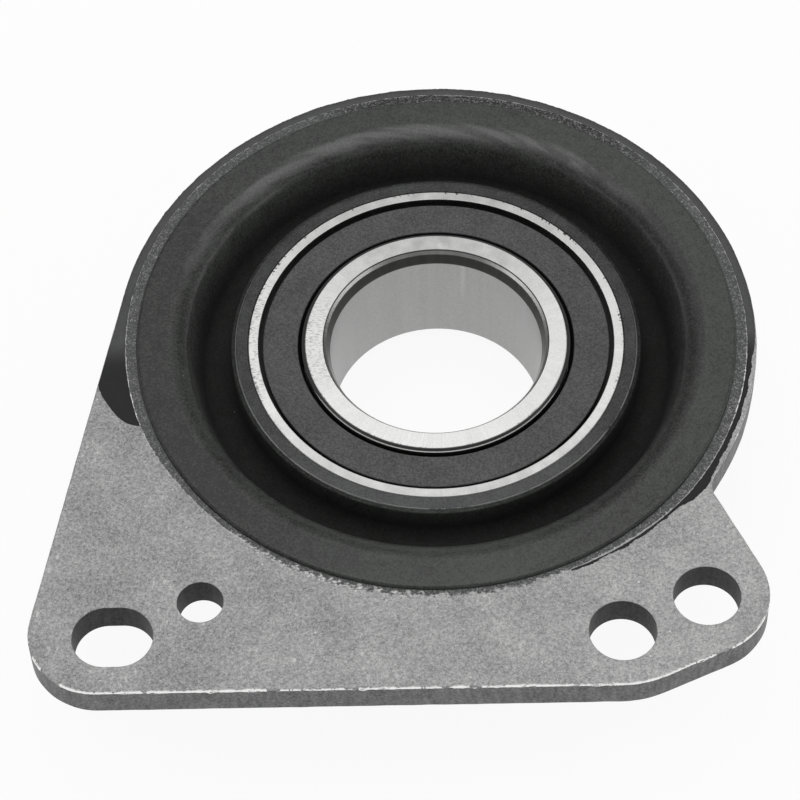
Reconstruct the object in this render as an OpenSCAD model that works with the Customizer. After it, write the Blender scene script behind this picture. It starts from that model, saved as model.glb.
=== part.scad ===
// Driveshaft centre bearing: a sealed ball bearing in a rubber isolator that is moulded
// into a flat steel mounting plate. Millimetres. The bore axis is Z, z = 0 is the rear face
// of the plate, and the foot of the plate points to -Y.

/* [Mounting plate] */
// Thickness of the plate
plate_t = 4.8; // [4:0.1:8]
// Diameter of the round head, concentric with the bore
head_d = 90; // [88:0.5:104]
// Hole in the head that the isolator is moulded into
isolator_hole_d = 77; // [75.5:0.5:80]
// Lean of the left edge from upright, in degrees: the edge is tangent to the head
left_lean = 10.9; // [5:0.1:16]
// Lean of the right edge from upright, in degrees
right_lean = 25.4; // [20:0.1:32]
// Slope of the ramp edge and of the pair of bolt holes above it, in degrees
ramp_angle = 24.2; // [18:0.1:30]
// Radius of the two outer corners of the foot
corner_r = 9.5; // [7:0.5:12]
// Radius that blends the bottom edge into the ramp
ramp_blend_r = 15; // [8:1:18]
// Radius in the notch where the right edge meets the head
notch_r = 3; // [1:0.5:6]
// Distance from the first bolt hole down to the bottom edge
bottom_margin = 8.15; // [7.5:0.05:11]
// Distance from the line of the bolt holes down to the ramp edge
ramp_margin = 8.5; // [7.5:0.25:11]
// Distance from the second bolt hole out to the right edge
right_margin = 8.75; // [7.5:0.25:11]

/* [Fixing holes] */
// Diameter of the bolt holes
bolt_hole_d = 9; // [8:0.1:10]
// Centre of the first bolt hole, right of the bore axis
bolt_x = 24; // [22:0.25:26]
// Centre of the first bolt hole, below the bore axis
bolt_drop = 48.85; // [47.5:0.05:50]
// Distance between the two bolt holes
bolt_pitch = 12.5; // [12:0.25:16]
// Width of the bolt slot
slot_w = 9; // [8:0.1:10]
// Length of the bolt slot from end to end
slot_l = 10.8; // [10.2:0.1:14]
// Centre of the slot, left of the bore axis
slot_x = 43.5; // [41:0.25:45]
// Height of the centre of the slot above the first bolt hole
slot_rise = 0.35; // [0:0.05:1]
// Diameter of the locating hole
locating_d = 6.2; // [5:0.1:7]
// Centre of the locating hole, left of the bore axis
locating_x = 32; // [30:0.25:33]
// Centre of the locating hole, below the bore axis
locating_drop = 43.35; // [42.5:0.05:46]

/* [Rubber isolator] */
// Outer diameter of the lip that lies on the front of the plate
lip_d = 84.3; // [82:0.1:87]
// Thickness of that lip
lip_t = 0.6; // [0.4:0.05:1.2]
// Diameter of the groove at its mouth
mouth_d = 70; // [68.5:0.25:71]
// Width of the rolled edge round the mouth
roll_w = 2.8; // [1.5:0.1:3]
// Drop of the rolled edge at the mouth
roll_drop = 1.15; // [0.7:0.05:1.5]
// Depth of the groove below the front lip
groove_depth = 8; // [6.5:0.25:9.5]
// Radius of the rounded floor of the groove
groove_floor_r = 2.2; // [1.6:0.1:2.5]
// Rubber skin left on the sleeve beside the groove
hub_skin_t = 0.5; // [0.3:0.05:0.9]
// Thickness of the web under the groove
web_t = 4; // [3:0.25:5]
// Length of the skirt that runs down the sleeve below the web
skirt_l = 5; // [3:0.25:5.5]
// Thickness of the skirt at its free edge
skirt_t = 0.8; // [0.5:0.1:1.5]

/* [Bearing sleeve] */
// Wall of the sleeve round the bearing
sleeve_t = 0.9; // [0.7:0.05:1.2]
// Thickness of the flange at the rear of the sleeve
sleeve_flange_t = 1; // [0.7:0.05:1.5]
// Width of that flange, inwards from the outside of the sleeve
sleeve_flange_w = 3.2; // [2.4:0.1:4]
// Outside radius of the bend into the flange
sleeve_bend_r = 1.4; // [0.8:0.1:1.8]
// Rounding on the outer edge of the rolled front rim
rim_edge_r = 0.35; // [0.15:0.05:0.6]

/* [Ball bearing] */
// Bore for the shaft
bore_d = 30; // [29:0.25:31]
// Outside diameter of the bearing
bearing_od = 55; // [54.5:0.25:57]
// Width of the bearing
bearing_w = 19; // [17:0.5:23]
// Depth of the bearing's front face below the front of the plate
bearing_set = 1.4; // [0.5:0.1:2.5]
// Chamfer on the outer corners of the outer race
corner_c = 1.1; // [0.8:0.05:1.4]
// Length of the lead-in at the front of the bore
lead_l = 2.1; // [1:0.1:3]
// Height of that lead-in
lead_h = 0.95; // [0.5:0.05:1.5]
// Chamfer at the rear of the bore
tail_c = 0.9; // [0.5:0.05:1.5]
// Thickness of the inner race at its seal lands
inner_rim_t = 3.75; // [3.4:0.05:3.85]
// Edge break on the outer corners of the inner race
inner_edge_c = 0.35; // [0.15:0.05:0.5]
// Thickness of the outer race at its seal seats
outer_rim_t = 2.4; // [2.1:0.05:2.6]
// Diameter of a ball
ball_d = 7.144; // [6.75:0.001:7.6]
// Raceway radius as a share of the ball diameter
raceway_share = 0.52; // [0.51:0.005:0.54]
// Radial gap between the shoulders of the two races
shoulder_gap = 4.2; // [4:0.1:4.6]
// Depth of the bay for a seal at each face
seal_bay = 3.2; // [2.8:0.1:3.6]
// Running clearance between a ball and a raceway
ball_clear = 0.04; // [0.02:0.01:0.08]

/* [Seals] */
// Depth of the seal's face below the face of the bearing
seal_set = 0.53; // [0.3:0.01:0.8]
// Thickness of the seal's disc
seal_t = 1; // [0.8:0.05:1.2]
// Open ring between the seal's face and its seat in the outer race
seal_ring_gap = 0.65; // [0.4:0.05:0.9]
// Open ring between the seal's face and the inner race
seal_shaft_gap = 0.75; // [0.5:0.05:1]
// Depth of the catch groove for the seal's bead, below the face of the bearing
catch_set = 1.7; // [1.4:0.05:1.8]
// Width of the catch groove
catch_w = 0.9; // [0.8:0.05:1]
// Height of the catch groove
catch_h = 0.4; // [0.2:0.05:0.5]
// Ledge under the bead, inwards from the seat
ledge_w = 0.6; // [0.4:0.05:0.9]
// Clearance round the bead in its groove
bead_clear = 0.02; // [0.01:0.01:0.05]
// Thickness of the seal's lip
seal_lip_t = 0.5; // [0.35:0.05:0.7]
// Width of the edge that the lip runs on
seal_lip_edge = 0.25; // [0.15:0.05:0.4]
// Gap between the end of the lip and the shoulder of the inner race
seal_end_gap = 0.5; // [0.3:0.05:0.8]
// Running clearance at the seal's lip
lip_clear = 0.1; // [0.05:0.01:0.2]

/* [Cage] */
// Thickness of the pressed sheet
cage_t = 0.7; // [0.5:0.05:0.9]
// Radial width of the pressed ring
cage_w = 3; // [2.6:0.1:3.3]
// Clearance between a ball and its pocket
pocket_clear = 0.15; // [0.1:0.01:0.25]
// Diameter of a rivet's shank
rivet_d = 1.1; // [0.8:0.05:1.4]
// Diameter of a rivet's heads
rivet_head_d = 1.9; // [1.6:0.05:2.2]
// Height of a rivet's heads
rivet_head_h = 0.4; // [0.3:0.05:0.6]

/* [Hidden] */
$fn = 96;
// Overshoot of a cut past the face that it opens
cut = 1;

// Plate
head_r = head_d / 2;
hole_r = isolator_hole_d / 2;
bolt_a = [bolt_x, -bolt_drop];
bolt_b = bolt_a + bolt_pitch * [cos(ramp_angle), sin(ramp_angle)];
slot_centre = [-slot_x, slot_rise - bolt_drop];
locating_centre = [-locating_x, -locating_drop];

// An edge of the foot is a line: the direction of its outward normal, and its distance from the axis
left_edge = [180 - left_lean, head_r];
bottom_edge = [-90, bolt_drop + bottom_margin];
ramp_edge = [ramp_angle - 90, reach(ramp_angle - 90, bolt_a) + ramp_margin];
right_edge = [right_lean, reach(right_lean, bolt_b) + right_margin];

// Bearing
bore_r = bore_d / 2;
bearing_r = bearing_od / 2;
half_w = bearing_w / 2;
bearing_front = plate_t - bearing_set;
bearing_mid = bearing_front - half_w;
bearing_rear = bearing_front - bearing_w;
pitch_r = (bore_r + bearing_r) / 2;
ball_r = ball_d / 2;
ball_count = 11;
ball_step = 360 / ball_count;
raceway_r = raceway_share * ball_d;
inner_shoulder_r = pitch_r - shoulder_gap / 2;
outer_shoulder_r = pitch_r + shoulder_gap / 2;
land_r = bore_r + inner_rim_t;
seat_r = bearing_r - outer_rim_t;
catch_end = catch_set + catch_w;
pocket_r = ball_r + pocket_clear;

// Sleeve
sleeve_r = bearing_r + sleeve_t;
sleeve_rear = bearing_rear - sleeve_flange_t;
hub_front = bearing_front - rim_edge_r;
sleeve_flange_r = sleeve_r - sleeve_flange_w;

// Isolator
lip_r = lip_d / 2;
lip_front = plate_t + lip_t;
mouth_r = mouth_d / 2;
mouth_z = lip_front - roll_drop;
roll_r = (roll_w * roll_w + roll_drop * roll_drop) / (2 * roll_drop);
hub_r = sleeve_r + hub_skin_t;
floor_centre = [hub_r + groove_floor_r, lip_front - groove_depth + groove_floor_r];
web_r = groove_floor_r + web_t;
web_rear = floor_centre[1] - web_r;

// Unit vector in a direction
function along(angle) = [cos(angle), sin(angle)];
// How far a point lies out in a direction
function reach(angle, point) = along(angle) * point;
// Crossing of two edges, each moved inwards by inset
function crossing(a, b, inset) =
    [(a[1] - inset) * sin(b[0]) - (b[1] - inset) * sin(a[0]),
     (b[1] - inset) * cos(a[0]) - (a[1] - inset) * cos(b[0])] / sin(b[0] - a[0]);
// Point of a circle of radius r round centre that touches an edge
function touch(centre, edge, r) = centre + r * along(edge[0]);
// Where a line from outside, with the circle on its left, touches the circle
function tangent(point, centre, r) =
    let (d = norm(point - centre), to = atan2(point[1] - centre[1], point[0] - centre[0]))
    centre + r * along(to - acos(r / d));

// Outline of the plate: the round head and the foot, with round corners
module plate_outline() {
    left_corner = crossing(left_edge, bottom_edge, corner_r);
    blend = crossing(bottom_edge, ramp_edge, ramp_blend_r);
    right_corner = crossing(ramp_edge, right_edge, corner_r);
    notch_out = right_edge[1] + notch_r;
    notch_down = sqrt(pow(head_r + notch_r, 2) - notch_out * notch_out);
    notch = notch_out * along(right_lean) + notch_down * along(right_lean - 90);
    notch_foot = touch(notch, right_edge, -notch_r);
    circle(head_r);
    polygon([[0, 0],
             touch([0, 0], left_edge, head_r),
             touch(left_corner, left_edge, corner_r),
             touch(left_corner, bottom_edge, corner_r),
             touch(blend, bottom_edge, ramp_blend_r),
             touch(blend, ramp_edge, ramp_blend_r),
             touch(right_corner, ramp_edge, corner_r),
             touch(right_corner, right_edge, corner_r),
             notch_foot]);
    translate(left_corner) circle(corner_r);
    translate(blend) circle(ramp_blend_r);
    translate(right_corner) circle(corner_r);
    difference() {
        polygon([[0, 0], notch_foot, notch, head_r * notch / norm(notch)]);
        translate(notch) circle(notch_r);
    }
}

// A hole through the plate
module plate_hole(centre, d) {
    translate([centre[0], centre[1], -cut]) cylinder(d = d, h = plate_t + 2 * cut);
}

// Flat plate with the isolator's hole, two bolt holes, a bolt slot and a locating hole
module mounting_plate() {
    slot_run = slot_l - slot_w;
    color("darkgray") difference() {
        linear_extrude(plate_t) plate_outline();
        plate_hole([0, 0], isolator_hole_d);
        plate_hole(bolt_a, bolt_hole_d);
        plate_hole(bolt_b, bolt_hole_d);
        plate_hole(locating_centre, locating_d);
        for (side = [-1, 1]) plate_hole(slot_centre + [side * slot_run / 2, 0], slot_w);
        translate([slot_centre[0] - slot_run / 2, slot_centre[1] - slot_w / 2, -cut])
            cube([slot_run, slot_w, plate_t + 2 * cut]);
    }
}

// Section of the groove: a round floor beside the hub and a drafted outer wall
module groove_section() {
    wall_foot = tangent([mouth_r, mouth_z], floor_centre, groove_floor_r);
    translate(floor_centre) circle(groove_floor_r);
    polygon([[hub_r, floor_centre[1]],
             floor_centre,
             wall_foot,
             [mouth_r, mouth_z],
             [mouth_r, lip_front + cut],
             [hub_r, lip_front + cut]]);
}

// Section of what the rolled edge takes off the front lip
module roll_section() {
    difference() {
        translate([mouth_r - cut, mouth_z]) square([roll_w + cut, roll_drop + cut]);
        translate([mouth_r + roll_w, lip_front - roll_r]) circle(roll_r, $fn = 360);
    }
}

// Section of the isolator: hub skin, leg in the plate's hole, front lip, web and skirt
module isolator_section() {
    floor_r = floor_centre[0];
    floor_z = floor_centre[1];
    difference() {
        union() {
            translate([sleeve_r, floor_z]) square([floor_r - sleeve_r, hub_front - floor_z]);
            translate([floor_r, floor_z]) square([web_r, plate_t - floor_z]);
            translate([floor_r, 0]) square([hole_r - floor_r, plate_t]);
            translate([mouth_r, plate_t]) square([lip_r - mouth_r, lip_t]);
            intersection() {
                translate(floor_centre) circle(web_r);
                translate([sleeve_r, web_rear]) square([2 * web_r, web_r]);
            }
            polygon([floor_centre,
                     [sleeve_r, floor_z],
                     [sleeve_r, web_rear - skirt_l],
                     [sleeve_r + skirt_t, web_rear - skirt_l],
                     [floor_r, web_rear]]);
        }
        groove_section();
        roll_section();
    }
}

// Rubber isolator, bonded to the plate outside and to the sleeve inside
module rubber_isolator() {
    color("dimgray") rotate_extrude() isolator_section();
}

// Section of the sleeve: rear flange, wall, and the front rim rolled over the outer race
module sleeve_section() {
    wall_rear = sleeve_rear + sleeve_bend_r;
    difference() {
        union() {
            translate([sleeve_flange_r, sleeve_rear])
                square([sleeve_flange_w - sleeve_bend_r, sleeve_bend_r]);
            translate([sleeve_r - sleeve_bend_r, wall_rear]) circle(sleeve_bend_r);
            translate([sleeve_flange_r, wall_rear]) square([sleeve_flange_w, hub_front - wall_rear]);
            translate([sleeve_flange_r, hub_front]) square([sleeve_flange_w - rim_edge_r, rim_edge_r]);
            translate([sleeve_r - rim_edge_r, hub_front]) circle(rim_edge_r);
        }
        polygon([[0, bearing_rear],
                 [bearing_r, bearing_rear],
                 [bearing_r, bearing_front - corner_c],
                 [bearing_r - corner_c, bearing_front],
                 [bearing_r - corner_c, bearing_front + cut],
                 [0, bearing_front + cut]]);
    }
}

// Drawn steel sleeve
module bearing_sleeve() {
    color("darkslategray") rotate_extrude() sleeve_section();
}

// A race turned from its half section, which is drawn about the middle of the bearing
module turned() {
    translate([0, 0, bearing_mid]) rotate_extrude() children();
}

// Outer race: raceway, two shoulders and a seal seat with a catch groove at each face
module outer_race() {
    front = [[bearing_r, half_w - corner_c],
             [bearing_r - corner_c, half_w],
             [seat_r, half_w],
             [seat_r, half_w - catch_set],
             [seat_r + catch_h, half_w - catch_set],
             [seat_r + catch_h, half_w - catch_end],
             [seat_r - ledge_w, half_w - catch_end],
             [outer_shoulder_r, half_w - seal_bay]];
    last = len(front) - 1;
    rear = [for (i = [last : -1 : 0]) [front[i][0], -front[i][1]]];
    color("lightgray") turned() difference() {
        polygon(concat(front, rear));
        translate([pitch_r + ball_r + ball_clear - raceway_r, 0]) circle(raceway_r);
    }
}

// Inner race: bore with a long lead-in at the front, raceway, two shoulders and two seal lands
module inner_race() {
    color("gainsboro") turned() difference() {
        polygon([[bore_r, tail_c - half_w],
                 [bore_r + tail_c, -half_w],
                 [land_r - inner_edge_c, -half_w],
                 [land_r, inner_edge_c - half_w],
                 [land_r, seal_bay - half_w],
                 [inner_shoulder_r, seal_bay - half_w],
                 [inner_shoulder_r, half_w - seal_bay],
                 [land_r, half_w - seal_bay],
                 [land_r, half_w - inner_edge_c],
                 [land_r - inner_edge_c, half_w],
                 [bore_r + lead_h, half_w],
                 [bore_r, half_w - lead_l]]);
        translate([pitch_r - ball_r - ball_clear + raceway_r, 0]) circle(raceway_r);
    }
}

// Places its children at the ball's place, counted from the right of the axis
module at_pitch(index, part_step = 0) {
    rotate((index + part_step) * ball_step) translate([pitch_r, 0, 0]) children();
}

// One ball on the pitch circle
module ball(index) {
    color("silver") translate([0, 0, bearing_mid]) at_pitch(index) sphere(ball_r);
}

// A ring of the cage's radial width, on the middle plane of the bearing
module cage_ring(height) {
    difference() {
        cylinder(r = pitch_r + cage_w / 2, h = height);
        translate([0, 0, -cut]) cylinder(r = pitch_r - cage_w / 2, h = height + 2 * cut);
    }
}

// Half of the pressed cage: flat lands and a domed pocket for each ball
module cage_half() {
    difference() {
        intersection() {
            cage_ring(pocket_r + cage_t);
            union() {
                cage_ring(cage_t);
                for (i = [0 : ball_count - 1]) at_pitch(i) sphere(pocket_r + cage_t);
            }
        }
        for (i = [0 : ball_count - 1]) {
            at_pitch(i) sphere(pocket_r);
            at_pitch(i, 0.5) translate([0, 0, -cut]) cylinder(d = rivet_d, h = cage_t + 2 * cut);
        }
    }
}

// Front half of the cage
module cage_front() {
    color("goldenrod") translate([0, 0, bearing_mid]) cage_half();
}

// Rear half of the cage
module cage_rear() {
    color("goldenrod") translate([0, 0, bearing_mid]) mirror([0, 0, 1]) cage_half();
}

// Rivets that hold the two halves of the cage together
module cage_rivets() {
    color("gray") translate([0, 0, bearing_mid])
        for (i = [0 : ball_count - 1]) at_pitch(i, 0.5) {
            translate([0, 0, -cage_t]) cylinder(d = rivet_d, h = 2 * cage_t);
            translate([0, 0, cage_t]) cylinder(d = rivet_head_d, h = rivet_head_h);
            translate([0, 0, -cage_t - rivet_head_h]) cylinder(d = rivet_head_d, h = rivet_head_h);
        }
}

// A seal, drawn for the front face: disc, bead in the catch groove, and lip on the inner race
module seal() {
    face_z = half_w - seal_set;
    disc_z = face_z - seal_t;
    face_in = land_r + seal_shaft_gap;
    face_out = seat_r - seal_ring_gap;
    bead_r = seat_r + catch_h - bead_clear;
    bead_top = half_w - catch_set - bead_clear;
    bead_low = half_w - catch_end + bead_clear;
    edge_r = land_r + lip_clear;
    edge_low = half_w - seal_bay + seal_end_gap;
    turned() polygon([[face_in, face_z],
                      [face_out, face_z],
                      [face_out, bead_top],
                      [bead_r, bead_top],
                      [bead_r, bead_low],
                      [face_out - seal_t, bead_low],
                      [face_out - seal_t, disc_z],
                      [face_in + seal_t, disc_z],
                      [edge_r + seal_lip_t, edge_low],
                      [edge_r, edge_low],
                      [edge_r, edge_low + seal_lip_edge],
                      [face_in, disc_z + seal_lip_edge]]);
}

// Seal at the front face
module seal_front() {
    color("slategray") seal();
}

// Seal at the rear face
module seal_rear() {
    color("slategray") translate([0, 0, 2 * bearing_mid]) mirror([0, 0, 1]) seal();
}

mounting_plate();
rubber_isolator();
bearing_sleeve();
outer_race();
inner_race();
ball(0);  // ball_01
ball(1);  // ball_02
ball(2);  // ball_03
ball(3);  // ball_04
ball(4);  // ball_05
ball(5);  // ball_06
ball(6);  // ball_07
ball(7);  // ball_08
ball(8);  // ball_09
ball(9);  // ball_10
ball(10);  // ball_11
cage_front();
cage_rear();
cage_rivets();
seal_front();
seal_rear();
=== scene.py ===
"""Looks of a driveshaft centre bearing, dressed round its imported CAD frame.

Lengths are in millimetres unless a name ends in _m, and angles in degrees. The frame is the part's
own: the bore axis is Z, z = 0 is the rear face of the plate and the foot of the plate points to -Y.
"""

import logging
import math
from dataclasses import dataclass, field
from enum import Enum
from typing import Iterable, Sequence

import bmesh
import bpy
from mathutils import Matrix, Vector, noise


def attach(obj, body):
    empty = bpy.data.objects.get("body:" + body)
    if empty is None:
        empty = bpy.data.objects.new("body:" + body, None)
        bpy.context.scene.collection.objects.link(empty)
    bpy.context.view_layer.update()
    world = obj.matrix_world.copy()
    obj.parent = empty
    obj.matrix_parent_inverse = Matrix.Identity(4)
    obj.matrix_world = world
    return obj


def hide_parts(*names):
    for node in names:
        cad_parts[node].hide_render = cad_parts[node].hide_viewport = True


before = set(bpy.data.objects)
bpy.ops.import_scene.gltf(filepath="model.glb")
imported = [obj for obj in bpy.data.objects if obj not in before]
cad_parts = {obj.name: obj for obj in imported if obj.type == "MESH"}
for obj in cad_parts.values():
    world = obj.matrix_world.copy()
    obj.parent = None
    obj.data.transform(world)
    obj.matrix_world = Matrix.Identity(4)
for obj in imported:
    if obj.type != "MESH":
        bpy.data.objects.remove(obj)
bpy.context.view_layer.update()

MM = 0.001
LOG = logging.getLogger("centre_bearing")
SUPPORT = 0.25  # Distance of a rounding's support points, as a share of its radius.
ROUNDING_STEP = 15.0  # Largest angle between two points of a rounding.
SHARP_ANGLE = 32.0  # Edges above it stay sharp, unless a piece has its own angle.
FLECK_CORE = 0.4  # Full part of a fleck, as a share of its size.

# Dimensions that several pieces share.
PLATE_T = 4.8
ISOLATOR_HOLE_R = 38.5
SLEEVE_R = 28.4
SLEEVE_REAR = -16.6
BEARING_R = 27.5
BEARING_FRONT = 3.4
BEARING_MIDDLE = -6.1
RACE_CORNER = 1.1
BORE_R = 15.0
SEAL_BAY = 3.2
CATCH_SET = 1.7
CATCH_W = 0.9
CATCH_H = 0.4

Colour = tuple[float, float, float, float]
Triple = tuple[float, float, float]
Point = tuple[float, float]
Pair = tuple[float, float]


class Body(Enum):
    """Bodies of the frame that the dressed pieces ride on."""

    BRACKET = "bracket"
    INNER_RING = "inner_ring"


class Slot(Enum):
    """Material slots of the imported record."""

    PLATE = "plate_steel"
    RUBBER = "isolator_rubber"
    SLEEVE = "sleeve_coating"
    RACE = "race_steel"
    SEAL = "seal_rubber"


def grey(level: float) -> Colour:
    """A neutral colour of that linear level."""
    return (level, level, level, 1.0)


class Signal:
    """An output of a shader node, with arithmetic that adds Math nodes."""

    def __init__(self, graph: "Graph", socket: bpy.types.NodeSocket) -> None:
        """Wraps one output socket of a node in graph."""
        self.graph = graph
        self.socket = socket

    def out(self, name: str) -> "Signal":
        """Another output of the same node."""
        return Signal(self.graph, self.socket.node.outputs[name])

    def math(self, operation: str, *values: "Signal | float") -> "Signal":
        """A Math node on these values.

        Args:
            operation: The node's operation.
            values: Its inputs, in order.

        Returns:
            The node's result.
        """
        return self.graph.add("ShaderNodeMath", {"operation": operation}, dict(enumerate(values)))

    def __add__(self, other: "Signal | float") -> "Signal":
        """self + other"""
        return self.math("ADD", self, other)

    def __radd__(self, other: float) -> "Signal":
        """other + self"""
        return self.math("ADD", other, self)

    def __sub__(self, other: "Signal | float") -> "Signal":
        """self - other"""
        return self.math("SUBTRACT", self, other)

    def __rsub__(self, other: float) -> "Signal":
        """other - self"""
        return self.math("SUBTRACT", other, self)

    def __mul__(self, other: "Signal | float") -> "Signal":
        """self * other"""
        return self.math("MULTIPLY", self, other)

    def __rmul__(self, other: float) -> "Signal":
        """other * self"""
        return self.math("MULTIPLY", other, self)

    def __pow__(self, other: "Signal | float") -> "Signal":
        """self ** other"""
        return self.math("POWER", self, other)

    def __abs__(self) -> "Signal":
        """abs(self)"""
        return self.math("ABSOLUTE", self)

    def sine(self) -> "Signal":
        """Sine of this angle in radians."""
        return self.math("SINE", self)

    def cosine(self) -> "Signal":
        """Cosine of this angle in radians."""
        return self.math("COSINE", self)

    def fade(self, start: "Signal | float", end: "Signal | float") -> "Signal":
        """A soft step on this value.

        Args:
            start: The value where the step is 0.
            end: The value where it is 1, which may be below start.

        Returns:
            The step, from 0 to 1.
        """
        limits = {"Value": self, "From Min": start, "From Max": end}
        return self.graph.add("ShaderNodeMapRange", {"interpolation_type": "SMOOTHSTEP"}, limits)


Sockets = dict[str, Signal | float | Colour]


@dataclass(frozen=True)
class Layer:
    """A layer of noise: waves for each millimetre, finer octaves and weight in the tone."""

    scale: float
    detail: float = 2.0
    weight: float = 1.0


@dataclass(frozen=True)
class Marks:
    """Noise that follows the turning of a ring.

    Its scales are for each radian around, and for each millimetre outward and along the axis.
    """

    around: float
    outward: float
    along: float = 0.0
    detail: float = 2.0
    weight: float = 1.0


@dataclass(frozen=True)
class Polar:
    """Cylinder coordinates about the bore axis: millimetres, radians and millimetres."""

    radius: Signal
    turn: Signal
    height: Signal


class Graph:
    """A node tree, with one method that adds any node."""

    def __init__(self, tree: bpy.types.NodeTree) -> None:
        """Starts on an emptied tree."""
        self.tree = tree
        tree.nodes.clear()

    def add(self, kind: str, settings: dict | None = None, inputs: dict | None = None,
            output: str | int = 0) -> Signal:
        """Adds a node.

        Args:
            kind: The node's type.
            settings: Its properties, which are set first.
            inputs: Numbers, colours or signals for its sockets, by name or index.
            output: The output to hand back.

        Returns:
            That output of the new node, or the input at that place if it has no outputs.
        """
        node = self.tree.nodes.new(kind)
        for key, value in (settings or {}).items():
            setattr(node, key, value)
        for key, value in (inputs or {}).items():
            if isinstance(value, Signal):
                self.tree.links.new(value.socket, node.inputs[key])
            else:
                node.inputs[key].default_value = value
        return Signal(self, (node.outputs or node.inputs)[output])

    def place(self, stretch: Triple = (1.0, 1.0, 1.0)) -> Signal:
        """The point on the part in millimetres, stretched along the axes.

        Args:
            stretch: Factor along each axis.

        Returns:
            The stretched point.
        """
        factors = tuple(share / MM for share in stretch)
        coords = self.add("ShaderNodeTexCoord", output="Object")
        return self.add("ShaderNodeVectorMath", {"operation": "MULTIPLY"}, {0: coords, 1: factors})

    def polar(self) -> Polar:
        """The point on the part in cylinder coordinates.

        Returns:
            The coordinates about the bore axis.
        """
        x = self.add("ShaderNodeSeparateXYZ", None, {0: self.place()}, "X")
        y = x.out("Y")
        return Polar((x * x + y * y) ** 0.5, x.math("ARCTAN2", y, x), x.out("Z"))

    def noise(self, where: Signal, layer: Layer) -> Signal:
        """Smooth noise, mostly from 0.3 to 0.7.

        Args:
            where: The point.
            layer: The noise's scale and detail.

        Returns:
            The noise.
        """
        sockets = {"Vector": where, "Scale": layer.scale, "Detail": layer.detail}
        return self.add("ShaderNodeTexNoise", None, sockets)

    def marks(self, polar: Polar, marks: Marks) -> Signal:
        """Noise that follows the turning of a ring, with no seam where the turn jumps.

        Args:
            polar: Cylinder coordinates.
            marks: The noise's scales and detail.

        Returns:
            The noise, mostly from 0.3 to 0.7.
        """
        parts = {
            "X": polar.turn.cosine() * marks.around + polar.radius * marks.outward,
            "Y": polar.turn.sine() * marks.around,
            "Z": polar.height * marks.along,
        }
        vector = self.add("ShaderNodeCombineXYZ", None, parts)
        return self.noise(vector, Layer(1.0, marks.detail))

    def flecks(self, where: Signal, cells: float, size: float) -> Signal:
        """Small scattered spots: 1 on a spot.

        Args:
            where: The point.
            cells: Cells for each unit of the point.
            size: Radius of a spot as a share of its cell.

        Returns:
            The mask.
        """
        distance = self.add("ShaderNodeTexVoronoi", None, {"Vector": where, "Scale": cells})
        return distance.fade(size, FLECK_CORE * size)

    def blend(self, share: Signal, under: "Signal | Colour", over: "Signal | Colour") -> Signal:
        """A mix of two colours, all over at share 1."""
        return self.add("ShaderNodeMix", {"data_type": "RGBA"}, {0: share, 6: under, 7: over}, 2)

    def bump(self, height: Signal, depth: float) -> Signal:
        """A normal from a height of 0 to 1 that stands for depth millimetres."""
        sockets = {"Strength": 1.0, "Distance": depth * MM, "Height": height}
        return self.add("ShaderNodeBump", None, sockets, "Normal")


class Finish:
    """A surface finish that makes one material and keeps it."""

    name: str = "finish"

    def material(self) -> bpy.types.Material:
        """The finish's material, made at the first call.

        Returns:
            The material.
        """
        made = bpy.data.materials.get(self.name)
        if made is None:
            made = bpy.data.materials.new(self.name)
            made.use_nodes = True
            graph = Graph(made.node_tree)
            shader = graph.add("ShaderNodeBsdfPrincipled", None, self.sockets(graph))
            graph.add("ShaderNodeOutputMaterial", None, {"Surface": shader})
        return made

    def sockets(self, graph: Graph) -> Sockets:
        """Values and signals for the shader's sockets."""
        raise NotImplementedError


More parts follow.
